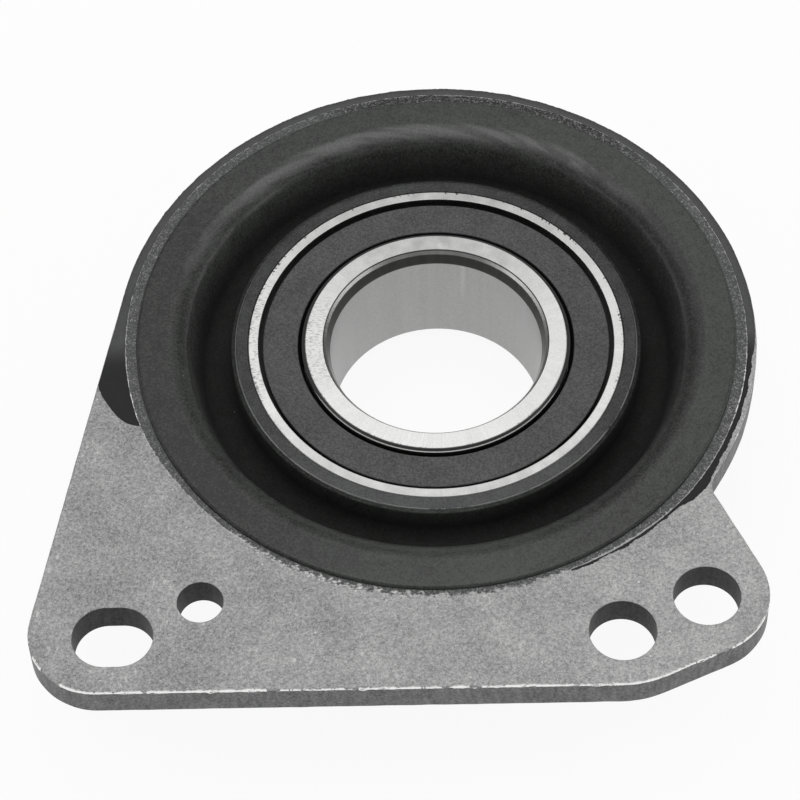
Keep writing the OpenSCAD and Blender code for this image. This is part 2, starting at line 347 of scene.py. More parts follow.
@dataclass(frozen=True)
class BlastedSteel(Finish):
    """Shot-blasted sheet, stained round the rubber lip."""

    name: str = "blasted_steel"
    dark: Colour = (0.155, 0.155, 0.158, 1.0)
    pale: Colour = (0.56, 0.56, 0.555, 1.0)
    stain: Colour = (0.055, 0.056, 0.057, 1.0)
    thick_stain: Colour = (0.006, 0.006, 0.0062, 1.0)
    # Bright steel of the flecks and scuffs, and of the stain's edge line, which is also a painted
    # highlight.
    scratch_and_highlight: Colour = (0.78, 0.78, 0.77, 1.0)
    grain: Layer = Layer(2.8, 3.0, 1.3)
    fine: Layer = Layer(5.0, 2.0, 1.2)
    mottle: Layer = Layer(0.16, 2.0, 0.5)
    tone_shift: float = 1.01
    tone_per_mm: float = 0.0014
    metallic: float = 0.72
    stain_dulls: float = 0.5
    rough: Pair = (0.5, 0.24)
    relief: float = 0.035
    fine_relief: float = 0.6
    fleck_cells: float = 0.55
    fleck_size: float = 0.10
    fleck_share: float = 0.75
    fleck_patch: Layer = Layer(0.35)
    fleck_from: Pair = (0.45, 0.6)
    scuff: Layer = Layer(1.1, 4.0, 0.4)
    scuff_stretch: Triple = (1.5, 0.6, 1.0)
    scuff_from: Pair = (0.6, 0.72)
    scuff_patch: Pair = (0.5, 0.62)
    ragged: Layer = Layer(1.1, 4.0)
    band_r: float = 43.64
    band_narrow: float = 0.65
    band_ragged: float = 0.35
    band_soft: float = 0.06
    narrow_reach: Pair = (1.1, 0.68)
    line_ragged: float = 0.3
    line_w: Pair = (0.11, 0.05)
    highlight_rise: Pair = (0.15, -0.25)
    highlight_full_rise: Pair = (-0.42, -0.28)
    line_from: Pair = (0.2, 0.4)
    line_grain: float = 0.6
    highlight_share: Pair = (0.4, 0.6)
    speckle: Triple = (2.36, 1.7, 1.2)
    residue_r: float = 42.75
    residue_ragged: float = 2.4
    residue_out: float = 0.5
    residue_in: float = 0.2
    chip: Layer = Layer(1.9, 3.0, 0.7)
    chip_stretch: Triple = (1.0, 1.5, 1.0)
    chip_w: Pair = (0.5, 0.15)
    flake_from: Pair = (0.43, 0.37)
    bare_from: Pair = (0.5, 0.6)
    bare_turn: Pair = (-1.45, -1.8)
    bare_share: Pair = (0.2, 0.45)
    foot_turn: float = -1.72
    foot_ragged: float = 0.3
    foot_reach: Pair = (0.61, 0.45)
    front_z: Pair = (4.0, 4.6)
    thick_turn: float = 1.36
    thick_reach: Pair = (0.8, 0.93)

    def stained(self, graph: Graph, grain: Signal, fine: Signal) -> tuple[Signal, Signal]:
        """Rubber stain beside the lip: a crisp band, and chipped residue at the foot.

        Args:
            graph: The material's tree.
            grain: The blasted grain, which breaks the stain up.
            fine: The finer grain, which speckles it.

        Returns:
            Shares of stain, and of bright chips and a scratched edge line with a painted highlight.
        """
        polar = graph.polar()
        ragged = graph.noise(graph.place(), self.ragged) - 0.5
        from_foot = abs(polar.turn - self.foot_turn)
        narrow = self.band_narrow * from_foot.fade(*self.narrow_reach)
        edge = ragged * self.band_ragged + self.band_r - narrow
        band = polar.radius.fade(edge + self.band_soft, edge - self.band_soft)
        fuzz = ragged * self.residue_ragged + self.residue_r
        residue = polar.radius.fade(fuzz + self.residue_out, fuzz - self.residue_in)
        foot = (from_foot + ragged * self.foot_ragged).fade(*self.foot_reach)
        front = polar.height.fade(*self.front_z)
        most, by_fine, by_grain = self.speckle
        speckle = most - fine * by_fine - grain * by_grain
        chips = graph.noise(graph.place(self.chip_stretch), self.chip)
        chipped = abs(polar.radius - fuzz - self.residue_in).fade(*self.chip_w) * foot
        flakes = chipped * chips.fade(*self.flake_from)
        stain = (band * (1.0 - foot) + residue * foot) * speckle + flakes * self.chip.weight
        line = abs(polar.radius - edge + (grain - 0.5) * self.line_ragged).fade(*self.line_w)
        broken = (ragged + grain * self.line_grain).fade(*self.line_from)
        # The edge line shows only at the sides and on the half towards the foot: a painted
        # highlight on scratched steel.
        rise = polar.turn.sine()
        least, more = self.highlight_share
        highlight_side = rise.fade(*self.highlight_rise) * (
            least + rise.fade(*self.highlight_full_rise) * more)
        bare = chipped * chips.fade(*self.bare_from)
        least, more = self.bare_share
        bare = bare * (least + polar.turn.fade(*self.bare_turn) * more)
        return stain * front, (line * broken * highlight_side * (1.0 - foot) + bare) * front

    def sockets(self, graph: Graph) -> Sockets:
        """Blasted grain, mottling, bright flecks, the stain, and its scratched edge with a painted
        highlight.

        Args:
            graph: The material's tree.

        Returns:
            Values and signals for the shader's sockets.
        """
        place = graph.place()
        grain = graph.noise(place, self.grain)
        fine = graph.noise(place, self.fine)
        mottle = graph.noise(place, self.mottle)
        sideways = graph.add("ShaderNodeSeparateXYZ", None, {0: place}, "X")
        tone = grain * self.grain.weight + fine * self.fine.weight + mottle * self.mottle.weight
        tone = tone + sideways * self.tone_per_mm - self.tone_shift
        steel = graph.blend(tone, self.dark, self.pale)
        patches = graph.noise(place, self.fleck_patch).fade(*self.fleck_from)
        flecks = graph.flecks(place, self.fleck_cells, self.fleck_size) * patches
        scuffs = graph.noise(graph.place(self.scuff_stretch), self.scuff)
        scuffs = scuffs.fade(*self.scuff_from) * mottle.fade(*self.scuff_patch)
        marked = flecks * self.fleck_share + scuffs * self.scuff.weight
        steel = graph.blend(marked, steel, self.scratch_and_highlight)
        stain, line = self.stained(graph, grain, fine)
        thick = (graph.polar().turn - self.thick_turn).cosine().fade(*self.thick_reach)
        steel = graph.blend(stain, steel, graph.blend(thick, self.stain, self.thick_stain))
        return {
            "Base Color": graph.blend(line, steel, self.scratch_and_highlight),
            "Metallic": self.metallic - stain * self.stain_dulls,
            "Roughness": self.rough[0] + fine * self.rough[1],
            "Normal": graph.bump(grain + fine * self.fine_relief, self.relief),
        }


@dataclass(frozen=True)
class CutSteel(Finish):
    """Sheared wall of the plate, with marks along the cut."""

    name: str = "cut_steel"
    dark: Colour = (0.075, 0.075, 0.077, 1.0)
    pale: Colour = (0.26, 0.26, 0.262, 1.0)
    grain: Layer = Layer(2.6, 3.0, 1.9)
    shear: Layer = Layer(1.5, 3.0, 1.0)
    shear_stretch: Triple = (1.0, 1.0, 0.22)
    mottle: Layer = Layer(0.2, 2.0, 0.6)
    tone_shift: float = 1.25
    metallic: float = 0.6
    rough: Pair = (0.48, 0.22)
    relief: float = 0.03

    def sockets(self, graph: Graph) -> Sockets:
        """Grain and shear marks that run through the thickness.

        Args:
            graph: The material's tree.

        Returns:
            Values and signals for the shader's sockets.
        """
        grain = graph.noise(graph.place(), self.grain)
        shear = graph.noise(graph.place(self.shear_stretch), self.shear)
        mottle = graph.noise(graph.place(), self.mottle)
        tone = grain * self.grain.weight + shear * self.shear.weight + mottle * self.mottle.weight
        return {
            "Base Color": graph.blend(tone - self.tone_shift, self.dark, self.pale),
            "Metallic": self.metallic,
            "Roughness": self.rough[0] + grain * self.rough[1],
            "Normal": graph.bump(grain + shear, self.relief),
        }


# Walls of the holes: cut steel made near black, partly a darker cut and partly painted shade inside
# the holes.
HOLE_WALL = CutSteel("hole_wall", (0.004, 0.004, 0.0042, 1.0), (0.073, 0.073, 0.074, 1.0))


@dataclass(frozen=True)
class WornEdge(Finish):
    """Bright bare steel on a burr or a rubbed edge."""

    name: str = "worn_edge"
    dull: Colour = (0.36, 0.36, 0.36, 1.0)
    bright: Colour = (0.94, 0.94, 0.93, 1.0)
    breaks: Layer = Layer(0.8, 3.0)
    grain: Layer = Layer(4.0, 2.0, 0.35)
    bright_from: Pair = (0.42, 0.64)
    metallic: float = 0.8
    rough: Pair = (0.34, 0.2)
    relief: float = 0.02

    def sockets(self, graph: Graph) -> Sockets:
        """Bright runs with dull breaks between them.

        Args:
            graph: The material's tree.

        Returns:
            Values and signals for the shader's sockets.
        """
        breaks = graph.noise(graph.place(), self.breaks)
        grain = graph.noise(graph.place(), self.grain)
        tone = (breaks + grain * self.grain.weight).fade(*self.bright_from)
        return {
            "Base Color": graph.blend(tone, self.dull, self.bright),
            "Metallic": self.metallic,
            "Roughness": self.rough[0] + grain * self.rough[1],
            "Normal": graph.bump(grain, self.relief),
        }


@dataclass(frozen=True)
class MouldedRubber(Finish):
    """Dark greenish moulded rubber with a faint bloom, and painted light and shade."""

    name: str = "moulded_rubber"
    deep: Colour = (0.0055, 0.0060, 0.0052, 1.0)
    # Pale end of the tone: the rubber's bloom, and painted light.
    bloom_and_light: Colour = (0.0485, 0.0535, 0.0485, 1.0)
    dust: Colour = grey(0.2)
    cloud: Layer = Layer(0.14, 3.0, 0.6)
    blotch: Layer = Layer(0.8, 3.0, 0.6)
    skin: Layer = Layer(3.4, 3.0, 2.3)
    flow: Marks = Marks(9.0, 0.9, 0.9, weight=0.35)
    tone_shift: float = 1.47
    dust_cells: float = 0.22
    dust_size: float = 0.035
    dust_share: float = 0.5
    # Painted shade: the tone darkens down into the groove.
    shade_z: Pair = (-1.5, 5.0)
    shade_share: Pair = (0.3, 0.7)
    face_z: Pair = (3.2, 4.6)
    roll_r: float = 37.8
    roll_out: float = 0.3
    roll_in: float = 0.5
    # A painted highlight along the roll's crest, on the side away from the foot.
    crest_w: Pair = (0.4, 0.05)
    crest_from: Pair = (0.35, 0.6)
    crest_share: float = 0.3
    # Painted light: the tone is lighter towards one side of the ring and darker opposite, less so
    # on the roll.
    lit_turn: float = 0.64
    lit_share: float = 0.3
    roll_share: float = 0.4
    # Painted light: the tone is lighter on the side towards the foot.
    lit_foot_turn: float = -1.57
    lit_foot_reach: Pair = (0.75, 0.1)
    lit_foot_share: float = 0.4
    # Side away from the foot: its roll is glossy and carries the painted crest highlight; the rest
    # of the roll gets painted shade.
    rub_and_light_turn: float = 1.75
    rub_and_light_reach: Pair = (0.3, 0.8)
    roll_shade: float = 0.2
    specular: float = 0.36
    matt: float = 0.9
    gloss: Triple = (0.66, 0.14, 0.1)
    coat: Pair = (0.2, 0.5)
    coat_from: Pair = (0.38, 0.62)
    coat_rough: float = 0.28
    relief: float = 0.016
    flow_relief: float = 0.5

    def sockets(self, graph: Graph) -> Sockets:
        """Bloom on the outer face, flow marks, a fine skin, a rubbed roll, and painted light and
        shade.

        Args:
            graph: The material's tree.

        Returns:
            Values and signals for the shader's sockets.
        """
        polar = graph.polar()
        place = graph.place()
        cloud = graph.noise(place, self.cloud)
        blotch = graph.noise(place, self.blotch)
        skin = graph.noise(place, self.skin)
        flow = graph.marks(polar, self.flow)
        # Painted shade, darker down into the groove.
        wear_and_shade = polar.height.fade(*self.shade_z)
        roll = polar.radius.fade(self.roll_r + self.roll_out, self.roll_r - self.roll_in)
        # Painted light, lighter towards one side of the ring.
        lit_side = (polar.turn - self.lit_turn).cosine()
        lit_side = lit_side * (self.lit_share - roll * self.roll_share)
        # Painted light, lighter towards the foot.
        lit_foot_side = abs(polar.turn - self.lit_foot_turn).fade(*self.lit_foot_reach)
        away = (polar.turn - self.rub_and_light_turn).cosine().fade(*self.rub_and_light_reach)
        # Painted highlight along the roll's crest.
        crest = abs(polar.radius - self.roll_r).fade(*self.crest_w)
        crest = crest * flow.fade(*self.crest_from) * away
        bloom_and_light = lit_side + lit_foot_side * self.lit_foot_share + cloud * self.cloud.weight
        bloom_and_light = bloom_and_light + blotch * self.blotch.weight + flow * self.flow.weight
        # Adds the painted crest highlight, and painted shade on the roll except away from the foot.
        bloom_and_light = bloom_and_light + crest * self.crest_share - roll * (1.0 - away) * self.roll_shade
        tone = bloom_and_light + skin * self.skin.weight - self.tone_shift
        tone = tone * (self.shade_share[0] + wear_and_shade * self.shade_share[1])
        rubber = graph.blend(tone, self.deep, self.bloom_and_light)
        dust = graph.flecks(place, self.dust_cells, self.dust_size)
        face = polar.height.fade(*self.face_z)
        most, by_skin, by_cloud = self.gloss
        coat = self.coat[0] + flow.fade(*self.coat_from) * self.coat[1]
        return {
            "Base Color": graph.blend(dust * self.dust_share, rubber, self.dust),
            "Metallic": 0.0,
            "Specular IOR Level": self.specular,
            "Roughness": self.matt - face * (most - skin * by_skin - cloud * by_cloud),
            "Coat Weight": face * roll * away * coat,
            "Coat Roughness": self.coat_rough,
            "Normal": graph.bump(skin + flow * self.flow_relief, self.relief),
        }


@dataclass(frozen=True)
class FlashRubber(Finish):
    """Thin smooth rubber that was squeezed out on to the plate."""

    name: str = "flash_rubber"
    deep: Colour = (0.019, 0.0195, 0.0195, 1.0)
    pale: Colour = (0.055, 0.056, 0.056, 1.0)
    black: Colour = (0.013, 0.0133, 0.0133, 1.0)
    cloud: Layer = Layer(0.5, 3.0, 0.8)
    skin: Layer = Layer(3.6, 3.0, 1.2)
    tone_shift: float = 0.45
    thick_rise: Pair = (0.0, -0.12)
    thick_black: Pair = (1.3, 0.5)
    rough: Pair = (0.42, 0.16)
    thick_rough: float = 0.4
    relief: float = 0.01

    def sockets(self, graph: Graph) -> Sockets:
        """A smooth skin with faint clouds, blacker on the half of the head next to the foot.

        Args:
            graph: The material's tree.

        Returns:
            Values and signals for the shader's sockets.
        """
        cloud = graph.noise(graph.place(), self.cloud)
        skin = graph.noise(graph.place(), self.skin)
        thick = graph.polar().turn.sine().fade(*self.thick_rise)
        tone = cloud * self.cloud.weight + skin * self.skin.weight - self.tone_shift
        thin = graph.blend(tone, self.deep, self.pale)
        black = thick * (self.thick_black[0] - tone * self.thick_black[1])
        return {
            "Base Color": graph.blend(black, thin, self.black),
            "Metallic": 0.0,
            "Roughness": self.rough[0] + skin * self.rough[1] + thick * self.thick_rough,
            "Normal": graph.bump(skin + cloud, self.relief),
        }


@dataclass(frozen=True)
class CoatedSteel(Finish):
    """Dark phosphated sheet steel with a rubbed outer edge."""

    name: str = "coated_steel"
    dark: Colour = (0.016, 0.016, 0.0165, 1.0)
    pale: Colour = (0.085, 0.086, 0.087, 1.0)
    bare: Colour = grey(0.5)
    grain: Layer = Layer(4.5, 3.0, 2.2)
    cloud: Layer = Layer(0.3, 2.0, 0.6)
    tone_shift: float = 1.15
    # Painted light: the coat is lighter on the side towards the foot.
    foot_light_rise: Pair = (-0.4, -0.95)
    foot_light_share: float = 0.45
    edge_r: float = 28.2
    edge_z: float = 3.0
    edge_soft: float = 0.15
    rub_from: Pair = (0.45, 0.8)
    rub_grain: float = 0.5
    metallic: Pair = (0.35, 0.5)
    rough: Triple = (0.45, 0.2, 0.15)
    relief: float = 0.02

    def sockets(self, graph: Graph) -> Sockets:
        """Crystalline grain, bare metal where the rim's edge is rubbed, and painted light by the
        foot.

        Args:
            graph: The material's tree.

        Returns:
            Values and signals for the shader's sockets.
        """
        polar = graph.polar()
        grain = graph.noise(graph.place(), self.grain)
        cloud = graph.noise(graph.place(), self.cloud)
        # Painted light, lighter towards the foot.
        foot_light = polar.turn.sine().fade(*self.foot_light_rise)
        tone = grain * self.grain.weight + cloud * self.cloud.weight
        tone = tone + foot_light * self.foot_light_share - self.tone_shift
        coat = graph.blend(tone, self.dark, self.pale)
        rubbed = polar.radius.fade(self.edge_r, self.edge_r + self.edge_soft)
        rubbed = rubbed * polar.height.fade(self.edge_z, self.edge_z + self.edge_soft)
        rubbed = rubbed * (cloud + grain * self.rub_grain).fade(*self.rub_from)
        matt, by_grain, by_rub = self.rough
        return {
            "Base Color": graph.blend(rubbed, coat, self.bare),
            "Metallic": self.metallic[0] + rubbed * self.metallic[1],
            "Roughness": matt + grain * by_grain - rubbed * by_rub,
            "Normal": graph.bump(grain, self.relief),
        }


@dataclass(frozen=True)
class GroundSteel(Finish):
    """Ground bearing steel with marks across its faces and along its bore."""

    name: str = "ground_steel"
    dull: Colour = (0.41, 0.41, 0.406, 1.0)
    bright: Colour = (0.59, 0.59, 0.584, 1.0)
    # Darker colour of the dashes, and of painted shade away from the foot and on the outer ring.
    smear_and_shade: Colour = (0.20, 0.20, 0.198, 1.0)
    # Dark colour of the nicks, and of the painted shade along the inner race's edges.
    nick_and_shade: Colour = (0.035, 0.035, 0.035, 1.0)
    scale: Colour = (0.125, 0.123, 0.120, 1.0)
    bore_low: Colour = (0.27, 0.27, 0.268, 1.0)
    bore_high: Colour = (0.45, 0.45, 0.447, 1.0)
    grinding: Marks = Marks(130.0, 0.25, 0.12, weight=0.9)
    wide: Marks = Marks(14.0, 0.2, 0.06, weight=0.5)
    grain: Layer = Layer(3.2, 3.0, 0.9)
    tone_shift: float = 0.65
    chips: Marks = Marks(60.0, 1.2)
    cluster: Marks = Marks(5.0, 0.0, detail=1.0, weight=0.7)
    dashes: Marks = Marks(130.0, 1.5)
    patches: Layer = Layer(0.5, 3.0)
    nick_r: float = 26.0
    nick_soft: float = 0.2
    nick_rise: Pair = (-0.8, 0.2)
    nick_from: Pair = (0.94, 0.99)
    inner_nick_r: float = 18.2
    inner_nick_soft: float = 0.25
    inner_nick_w: float = 0.3
    inner_nick_share: float = 0.45
    shade_and_dash_share: Triple = (0.9, 1.4, 0.75)
    away_rise: Pair = (0.2, 1.0)
    toward_rise: Pair = (-0.3, -0.95)
    dash_from: Pair = (0.5, 0.64)
    dash_side: Pair = (-0.85, -0.99)
    outer_ring_r: Pair = (24.0, 25.0)
    bore_r: float = BORE_R
    bore_soft: Pair = (0.12, 0.04)
    satin: tuple[float, ...] = (0.2, 0.25, 0.7, 0.3, 0.05)
    lead_r: float = 15.54
    lead_z: float = 1.3
    lead_soft: float = 0.06
    lead_share: Pair = (1.06, 0.2)
    # Painted shade: a dark line along the inner race's outer edge, wider away from the foot, and
    # one at the bore's rim.
    edge_r: float = 18.46
    edge_end_r: float = 18.79
    edge_spread: float = 0.25
    edge_rise: Pair = (-0.65, -0.3)
    edge_soft: float = 0.04
    edge_z: Pair = (2.65, 2.7)
    rim_r: float = 16.0
    rim_soft: float = 0.03
    rim_z: Pair = (3.25, 3.3)
    streak_turn: float = 1.295
    streak_w: float = 0.04
    streak_z: Pair = (-9.0, -2.0)
    metallic: Pair = (1.0, 0.6)
    smooth: float = 0.24
    rough_by: Triple = (0.14, 0.08, 0.2)
    relief: float = 0.0035
    grain_relief: float = 0.5

    def damage(self, graph: Graph, polar: Polar) -> Signal:
        """Small dark chips in clusters along the outer edges of both faces.

        Args:
            graph: The material's tree.
            polar: Cylinder coordinates.

        Returns:
            The mask of the chips.
        """
        chips = graph.marks(polar, self.chips)
        cluster = graph.marks(polar, self.cluster)
        upper = polar.turn.sine().fade(*self.nick_rise)
        outer_rim = polar.radius.fade(self.nick_r, self.nick_r + self.nick_soft) * upper
        inner_rim = polar.radius.fade(self.inner_nick_r, self.inner_nick_r + self.inner_nick_soft)
        inner_rim = inner_rim * polar.radius.fade(self.edge_r + self.inner_nick_w, self.edge_r)
        nicked = (chips + cluster * self.cluster.weight).fade(*self.nick_from)
        return nicked * (outer_rim + inner_rim * self.inner_nick_share)

    def wear_and_shade(self, graph: Graph, polar: Polar) -> Signal:
        """Patchy painted shade away from the foot and on the outer ring towards it, and dark dashes
        aside.

        Args:
            graph: The material's tree.
            polar: Cylinder coordinates.

        Returns:
            The share of the darker colour.
        """
        patches = graph.noise(graph.place(), self.patches)
        rise = polar.turn.sine()
        away = rise.fade(*self.away_rise)
        dashes = graph.marks(polar, self.dashes).fade(*self.dash_from)
        aside = polar.turn.cosine().fade(*self.dash_side)
        # Painted shade on the outer ring towards the foot.
        foot_ring_shade = rise.fade(*self.toward_rise) * polar.radius.fade(*self.outer_ring_r)
        away_shade, dashed, ring = self.shade_and_dash_share
        # Painted shade in patches away from the foot, and dark dashes at the side.
        wear_and_shade = away * patches * away_shade + aside * dashes * patches * dashed
        return wear_and_shade + foot_ring_shade * patches * ring

    def dark_edges(self, polar: Polar) -> tuple[Signal, Signal]:
        """Dark lines along both edges of the inner race's front face: painted shade.

        Args:
            polar: Cylinder coordinates.

        Returns:
            The masks of the painted shade along the outer edge and at the bore's rim.
        """
        end = self.edge_end_r + polar.turn.sine().fade(*self.edge_rise) * self.edge_spread
        edge = polar.radius.fade(self.edge_r, self.edge_r + self.edge_soft)
        edge = edge * polar.radius.fade(end, end - self.edge_soft) * polar.height.fade(*self.edge_z)
        rim = polar.radius.fade(self.rim_r + self.rim_soft, self.rim_r - self.rim_soft)
        return edge, rim * polar.height.fade(*self.rim_z)

    def sockets(self, graph: Graph) -> Sockets:
        """Radial grinding marks, a satin bore, small nicks, and painted shade along edges and by
        side.

        Args:
            graph: The material's tree.

        Returns:
            Values and signals for the shader's sockets.
        """
        polar = graph.polar()
        marks = graph.marks(polar, self.grinding)
        wide = graph.marks(polar, self.wide)
        grain = graph.noise(graph.place(), self.grain)
        tone = marks * self.grinding.weight + wide * self.wide.weight + grain * self.grain.weight
        steel = graph.blend(tone - self.tone_shift, self.dull, self.bright)
        # Dark dashes, and painted shade away from the foot and on the outer ring.
        steel = graph.blend(self.wear_and_shade(graph, polar), steel, self.smear_and_shade)
        streak = abs(polar.turn - self.streak_turn).fade(self.streak_w, 0.0)
        streak = streak * polar.height.fade(*self.streak_z)
        by_marks, by_wide, by_grain, by_streak, shift = self.satin
        satin = marks * by_marks + wide * by_wide + grain * by_grain + streak * by_streak - shift
        bore = polar.radius.fade(*(self.bore_r + soft for soft in self.bore_soft))
        steel = graph.blend(bore, steel, graph.blend(satin, self.bore_low, self.bore_high))
        lead = polar.radius.fade(self.lead_r, self.lead_r - self.lead_soft) * polar.height.fade(
            self.lead_z - self.lead_soft, self.lead_z + self.lead_soft)
        lead = lead * (self.lead_share[0] - wide * self.lead_share[1])
        steel = graph.blend(lead, steel, self.scale)
        edge, rim = self.dark_edges(polar)
        # Real nicks, plus the painted dark lines along the edges.
        nicks_and_shade = self.damage(graph, polar) + rim
        dark = nicks_and_shade.math("MAXIMUM", nicks_and_shade, edge)
        by_marks, by_bore, by_edge = self.rough_by
        return {
            "Base Color": graph.blend(dark, steel, self.nick_and_shade),
            "Metallic": self.metallic[0] - dark * self.metallic[1],
            "Roughness": self.smooth + marks * by_marks + bore * by_bore + edge * by_edge,
            "Normal": graph.bump(marks + grain * self.grain_relief, self.relief),
        }


@dataclass(frozen=True)
class SealRubber(Finish):
    """Matt grey nitrile rubber, with painted shade in its crevices."""

    name: str = "seal_rubber_matt"
    dark: Colour = (0.026, 0.026, 0.026, 1.0)
    pale: Colour = (0.105, 0.105, 0.106, 1.0)
    # Near black painted shade on every surface below the seal's face.
    crevice_shade: Colour = (0.003, 0.003, 0.003, 1.0)
    grain: Layer = Layer(3.6, 3.0, 2.3)
    cloud: Layer = Layer(0.25, 2.0, 0.6)
    tone_shift: float = 0.92
    mid_z: float = BEARING_MIDDLE
    face_from_mid: float = 8.97
    shade_depth: Pair = (0.12, 0.3)
    rough: Pair = (0.55, 0.2)
    specular: float = 0.4
    relief: float = 0.014

    def sockets(self, graph: Graph) -> Sockets:
        """Fine grain on the faces, and painted shade below them.

        Args:
            graph: The material's tree.

        Returns:
            Values and signals for the shader's sockets.
        """
        polar = graph.polar()
        grain = graph.noise(graph.place(), self.grain)
        cloud = graph.noise(graph.place(), self.cloud)
        # Painted shade below the face.
        depths = (self.face_from_mid - depth for depth in self.shade_depth)
        recess_shade = abs(polar.height - self.mid_z).fade(*depths)
        tone = grain * self.grain.weight + cloud * self.cloud.weight - self.tone_shift
        rubber = graph.blend(tone, self.dark, self.pale)
        return {
            "Base Color": graph.blend(recess_shade, rubber, self.crevice_shade),
            "Metallic": 0.0,
            "Roughness": self.rough[0] + grain * self.rough[1],
            "Specular IOR Level": self.specular,
            "Normal": graph.bump(grain, self.relief),
        }


@dataclass(frozen=True)
class PolishedSteel(Finish):
    """Lapped ball steel."""

    name: str = "polished_steel"
    dull: Colour = (0.62, 0.62, 0.63, 1.0)
    bright: Colour = (0.86, 0.86, 0.87, 1.0)
    haze: Layer = Layer(0.6, 3.0)
    lapping: Layer = Layer(9.0, 2.0, 0.2)
    rough: Pair = (0.05, 0.12)
    relief: float = 0.0005

    def sockets(self, graph: Graph) -> Sockets:
        """A mirror finish with a faint haze of grease.

        Args:
            graph: The material's tree.

        Returns:
            Values and signals for the shader's sockets.
        """
        haze = graph.noise(graph.place(), self.haze)
        lapping = graph.noise(graph.place(), self.lapping)
        tone = haze + lapping * self.lapping.weight
        return {
            "Base Color": graph.blend(tone, self.dull, self.bright),
            "Metallic": 1.0,
            "Roughness": self.rough[0] + haze * self.rough[1],
            "Normal": graph.bump(lapping, self.relief),
        }


@dataclass(frozen=True)
class PressedSteel(Finish):
    """Pressed sheet of the ball cage, with drawn marks."""

    name: str = "pressed_steel"
    dull: Colour = (0.30, 0.295, 0.285, 1.0)
    bright: Colour = (0.62, 0.615, 0.60, 1.0)
    drawn: Marks = Marks(8.0, 6.0, 2.0, weight=0.8)
    grain: Layer = Layer(3.0, 3.0, 0.6)
    tone_shift: float = 0.2
    metallic: float = 0.95
    rough: Pair = (0.28, 0.2)
    relief: float = 0.008

    def sockets(self, graph: Graph) -> Sockets:
        """Marks round the ring and a tumbled grain.

        Args:
            graph: The material's tree.

        Returns:
            Values and signals for the shader's sockets.
        """
        drawn = graph.marks(graph.polar(), self.drawn)
        grain = graph.noise(graph.place(), self.grain)
        tone = drawn * self.drawn.weight + grain * self.grain.weight - self.tone_shift
        return {
            "Base Color": graph.blend(tone, self.dull, self.bright),
            "Metallic": self.metallic,
            "Roughness": self.rough[0] + grain * self.rough[1],
            "Normal": graph.bump(grain + drawn, self.relief),
        }


@dataclass(frozen=True)
class Corner:
    """A corner of a turned section: radius, height and rounding."""

    r: float
    z: float
    rounding: float = 0.0


def arc(centre: Point, radius: float, start: float, end: float, step: float = 6.0) -> list[Point]:
    """Points along an arc.

    Args:
        centre: Its centre.
        radius: Its radius.
        start: Angle of its first point.
        end: Angle of its last point, which may be below start.
        step: Largest angle between two points.

    Returns:
        The points, with both ends.
    """
    count = max(1, math.ceil(abs(end - start) / step))
    angles = [math.radians(start + (end - start) * i / count) for i in range(count + 1)]
    return [(centre[0] + radius * math.cos(a), centre[1] + radius * math.sin(a)) for a in angles]


def rounded(corners: Sequence[Corner]) -> list[Point]:
    """A closed section with its corners rounded, each between two points that keep the flats flat.

    Args:
        corners: The corners, counter-clockwise.

    Returns:
        The points of the section.
    """
    points: list[Point] = []
    for index, corner in enumerate(corners):
        here = Vector((corner.r, corner.z))
        if corner.rounding <= 0.0:
            points.append((here.x, here.y))
            continue
        before, after = corners[index - 1], corners[(index + 1) % len(corners)]
        to_before = (Vector((before.r, before.z)) - here).normalized()
        to_after = (Vector((after.r, after.z)) - here).normalized()
        half = to_before.angle(to_after) / 2
        centre = here + (to_before + to_after).normalized() * (corner.rounding / math.sin(half))
        reach = corner.rounding / math.tan(half)
        first, last = here + to_before * reach - centre, here + to_after * reach - centre
        sweep = math.degrees(first.angle_signed(last))
        start = math.degrees(math.atan2(first.y, first.x))
        support = reach + SUPPORT * corner.rounding
        points.append(tuple(here + to_before * support))
        points += arc((centre.x, centre.y), corner.rounding, start, start - sweep, ROUNDING_STEP)
        points.append(tuple(here + to_after * support))
    return points


def new_piece(name: str, mesh: bpy.types.Mesh, finishes: Sequence[Finish], body: Body,
              stands_for: str | None = None) -> None:
    """Puts a finished mesh into the scene and reports it.

    Args:
        name: The piece's name.
        mesh: Its mesh, in metres.
        finishes: Its finishes, in the order of the mesh's material indices.
        body: The body that it rides on.
        stands_for: The CAD node that it replaces, if any.
    """
    piece = bpy.data.objects.new(name, mesh)
    bpy.context.scene.collection.objects.link(piece)
    for finish in finishes:
        mesh.materials.append(finish.material())
    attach(piece, body.value)
    if stands_for is not None:
        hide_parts(stands_for)
    LOG.info("%s: %d faces, rides on %s", name, len(mesh.polygons), body.value)


def smooth_by_angle(mesh: bpy.types.Mesh, angle: float = SHARP_ANGLE) -> None:
    """Shades a mesh smooth, with edges above that angle left sharp."""
    mesh.polygons.foreach_set("use_smooth", [True] * len(mesh.polygons))
    mesh.set_sharp_from_angle(angle=math.radians(angle))


def looped(name: str, rings: Sequence[Sequence[Triple]],
           angle: float = SHARP_ANGLE) -> bpy.types.Mesh:
    """A tube through rings of corners, which closes on itself.

    Args:
        name: The mesh's name.
        rings: Corners of each ring, in metres.
        angle: Edges above it stay sharp.

    Returns:
        The mesh.
    """
    count, corners, faces = len(rings), len(rings[0]), []
    for k in range(count):
        near, far = k * corners, (k + 1) % count * corners
        for i in range(corners):
            j = (i + 1) % corners
            faces.append((near + i, far + i, far + j, near + j))
    mesh = bpy.data.meshes.new(name)
    mesh.from_pydata([corner for ring in rings for corner in ring], [], faces)
    smooth_by_angle(mesh, angle)
    return mesh


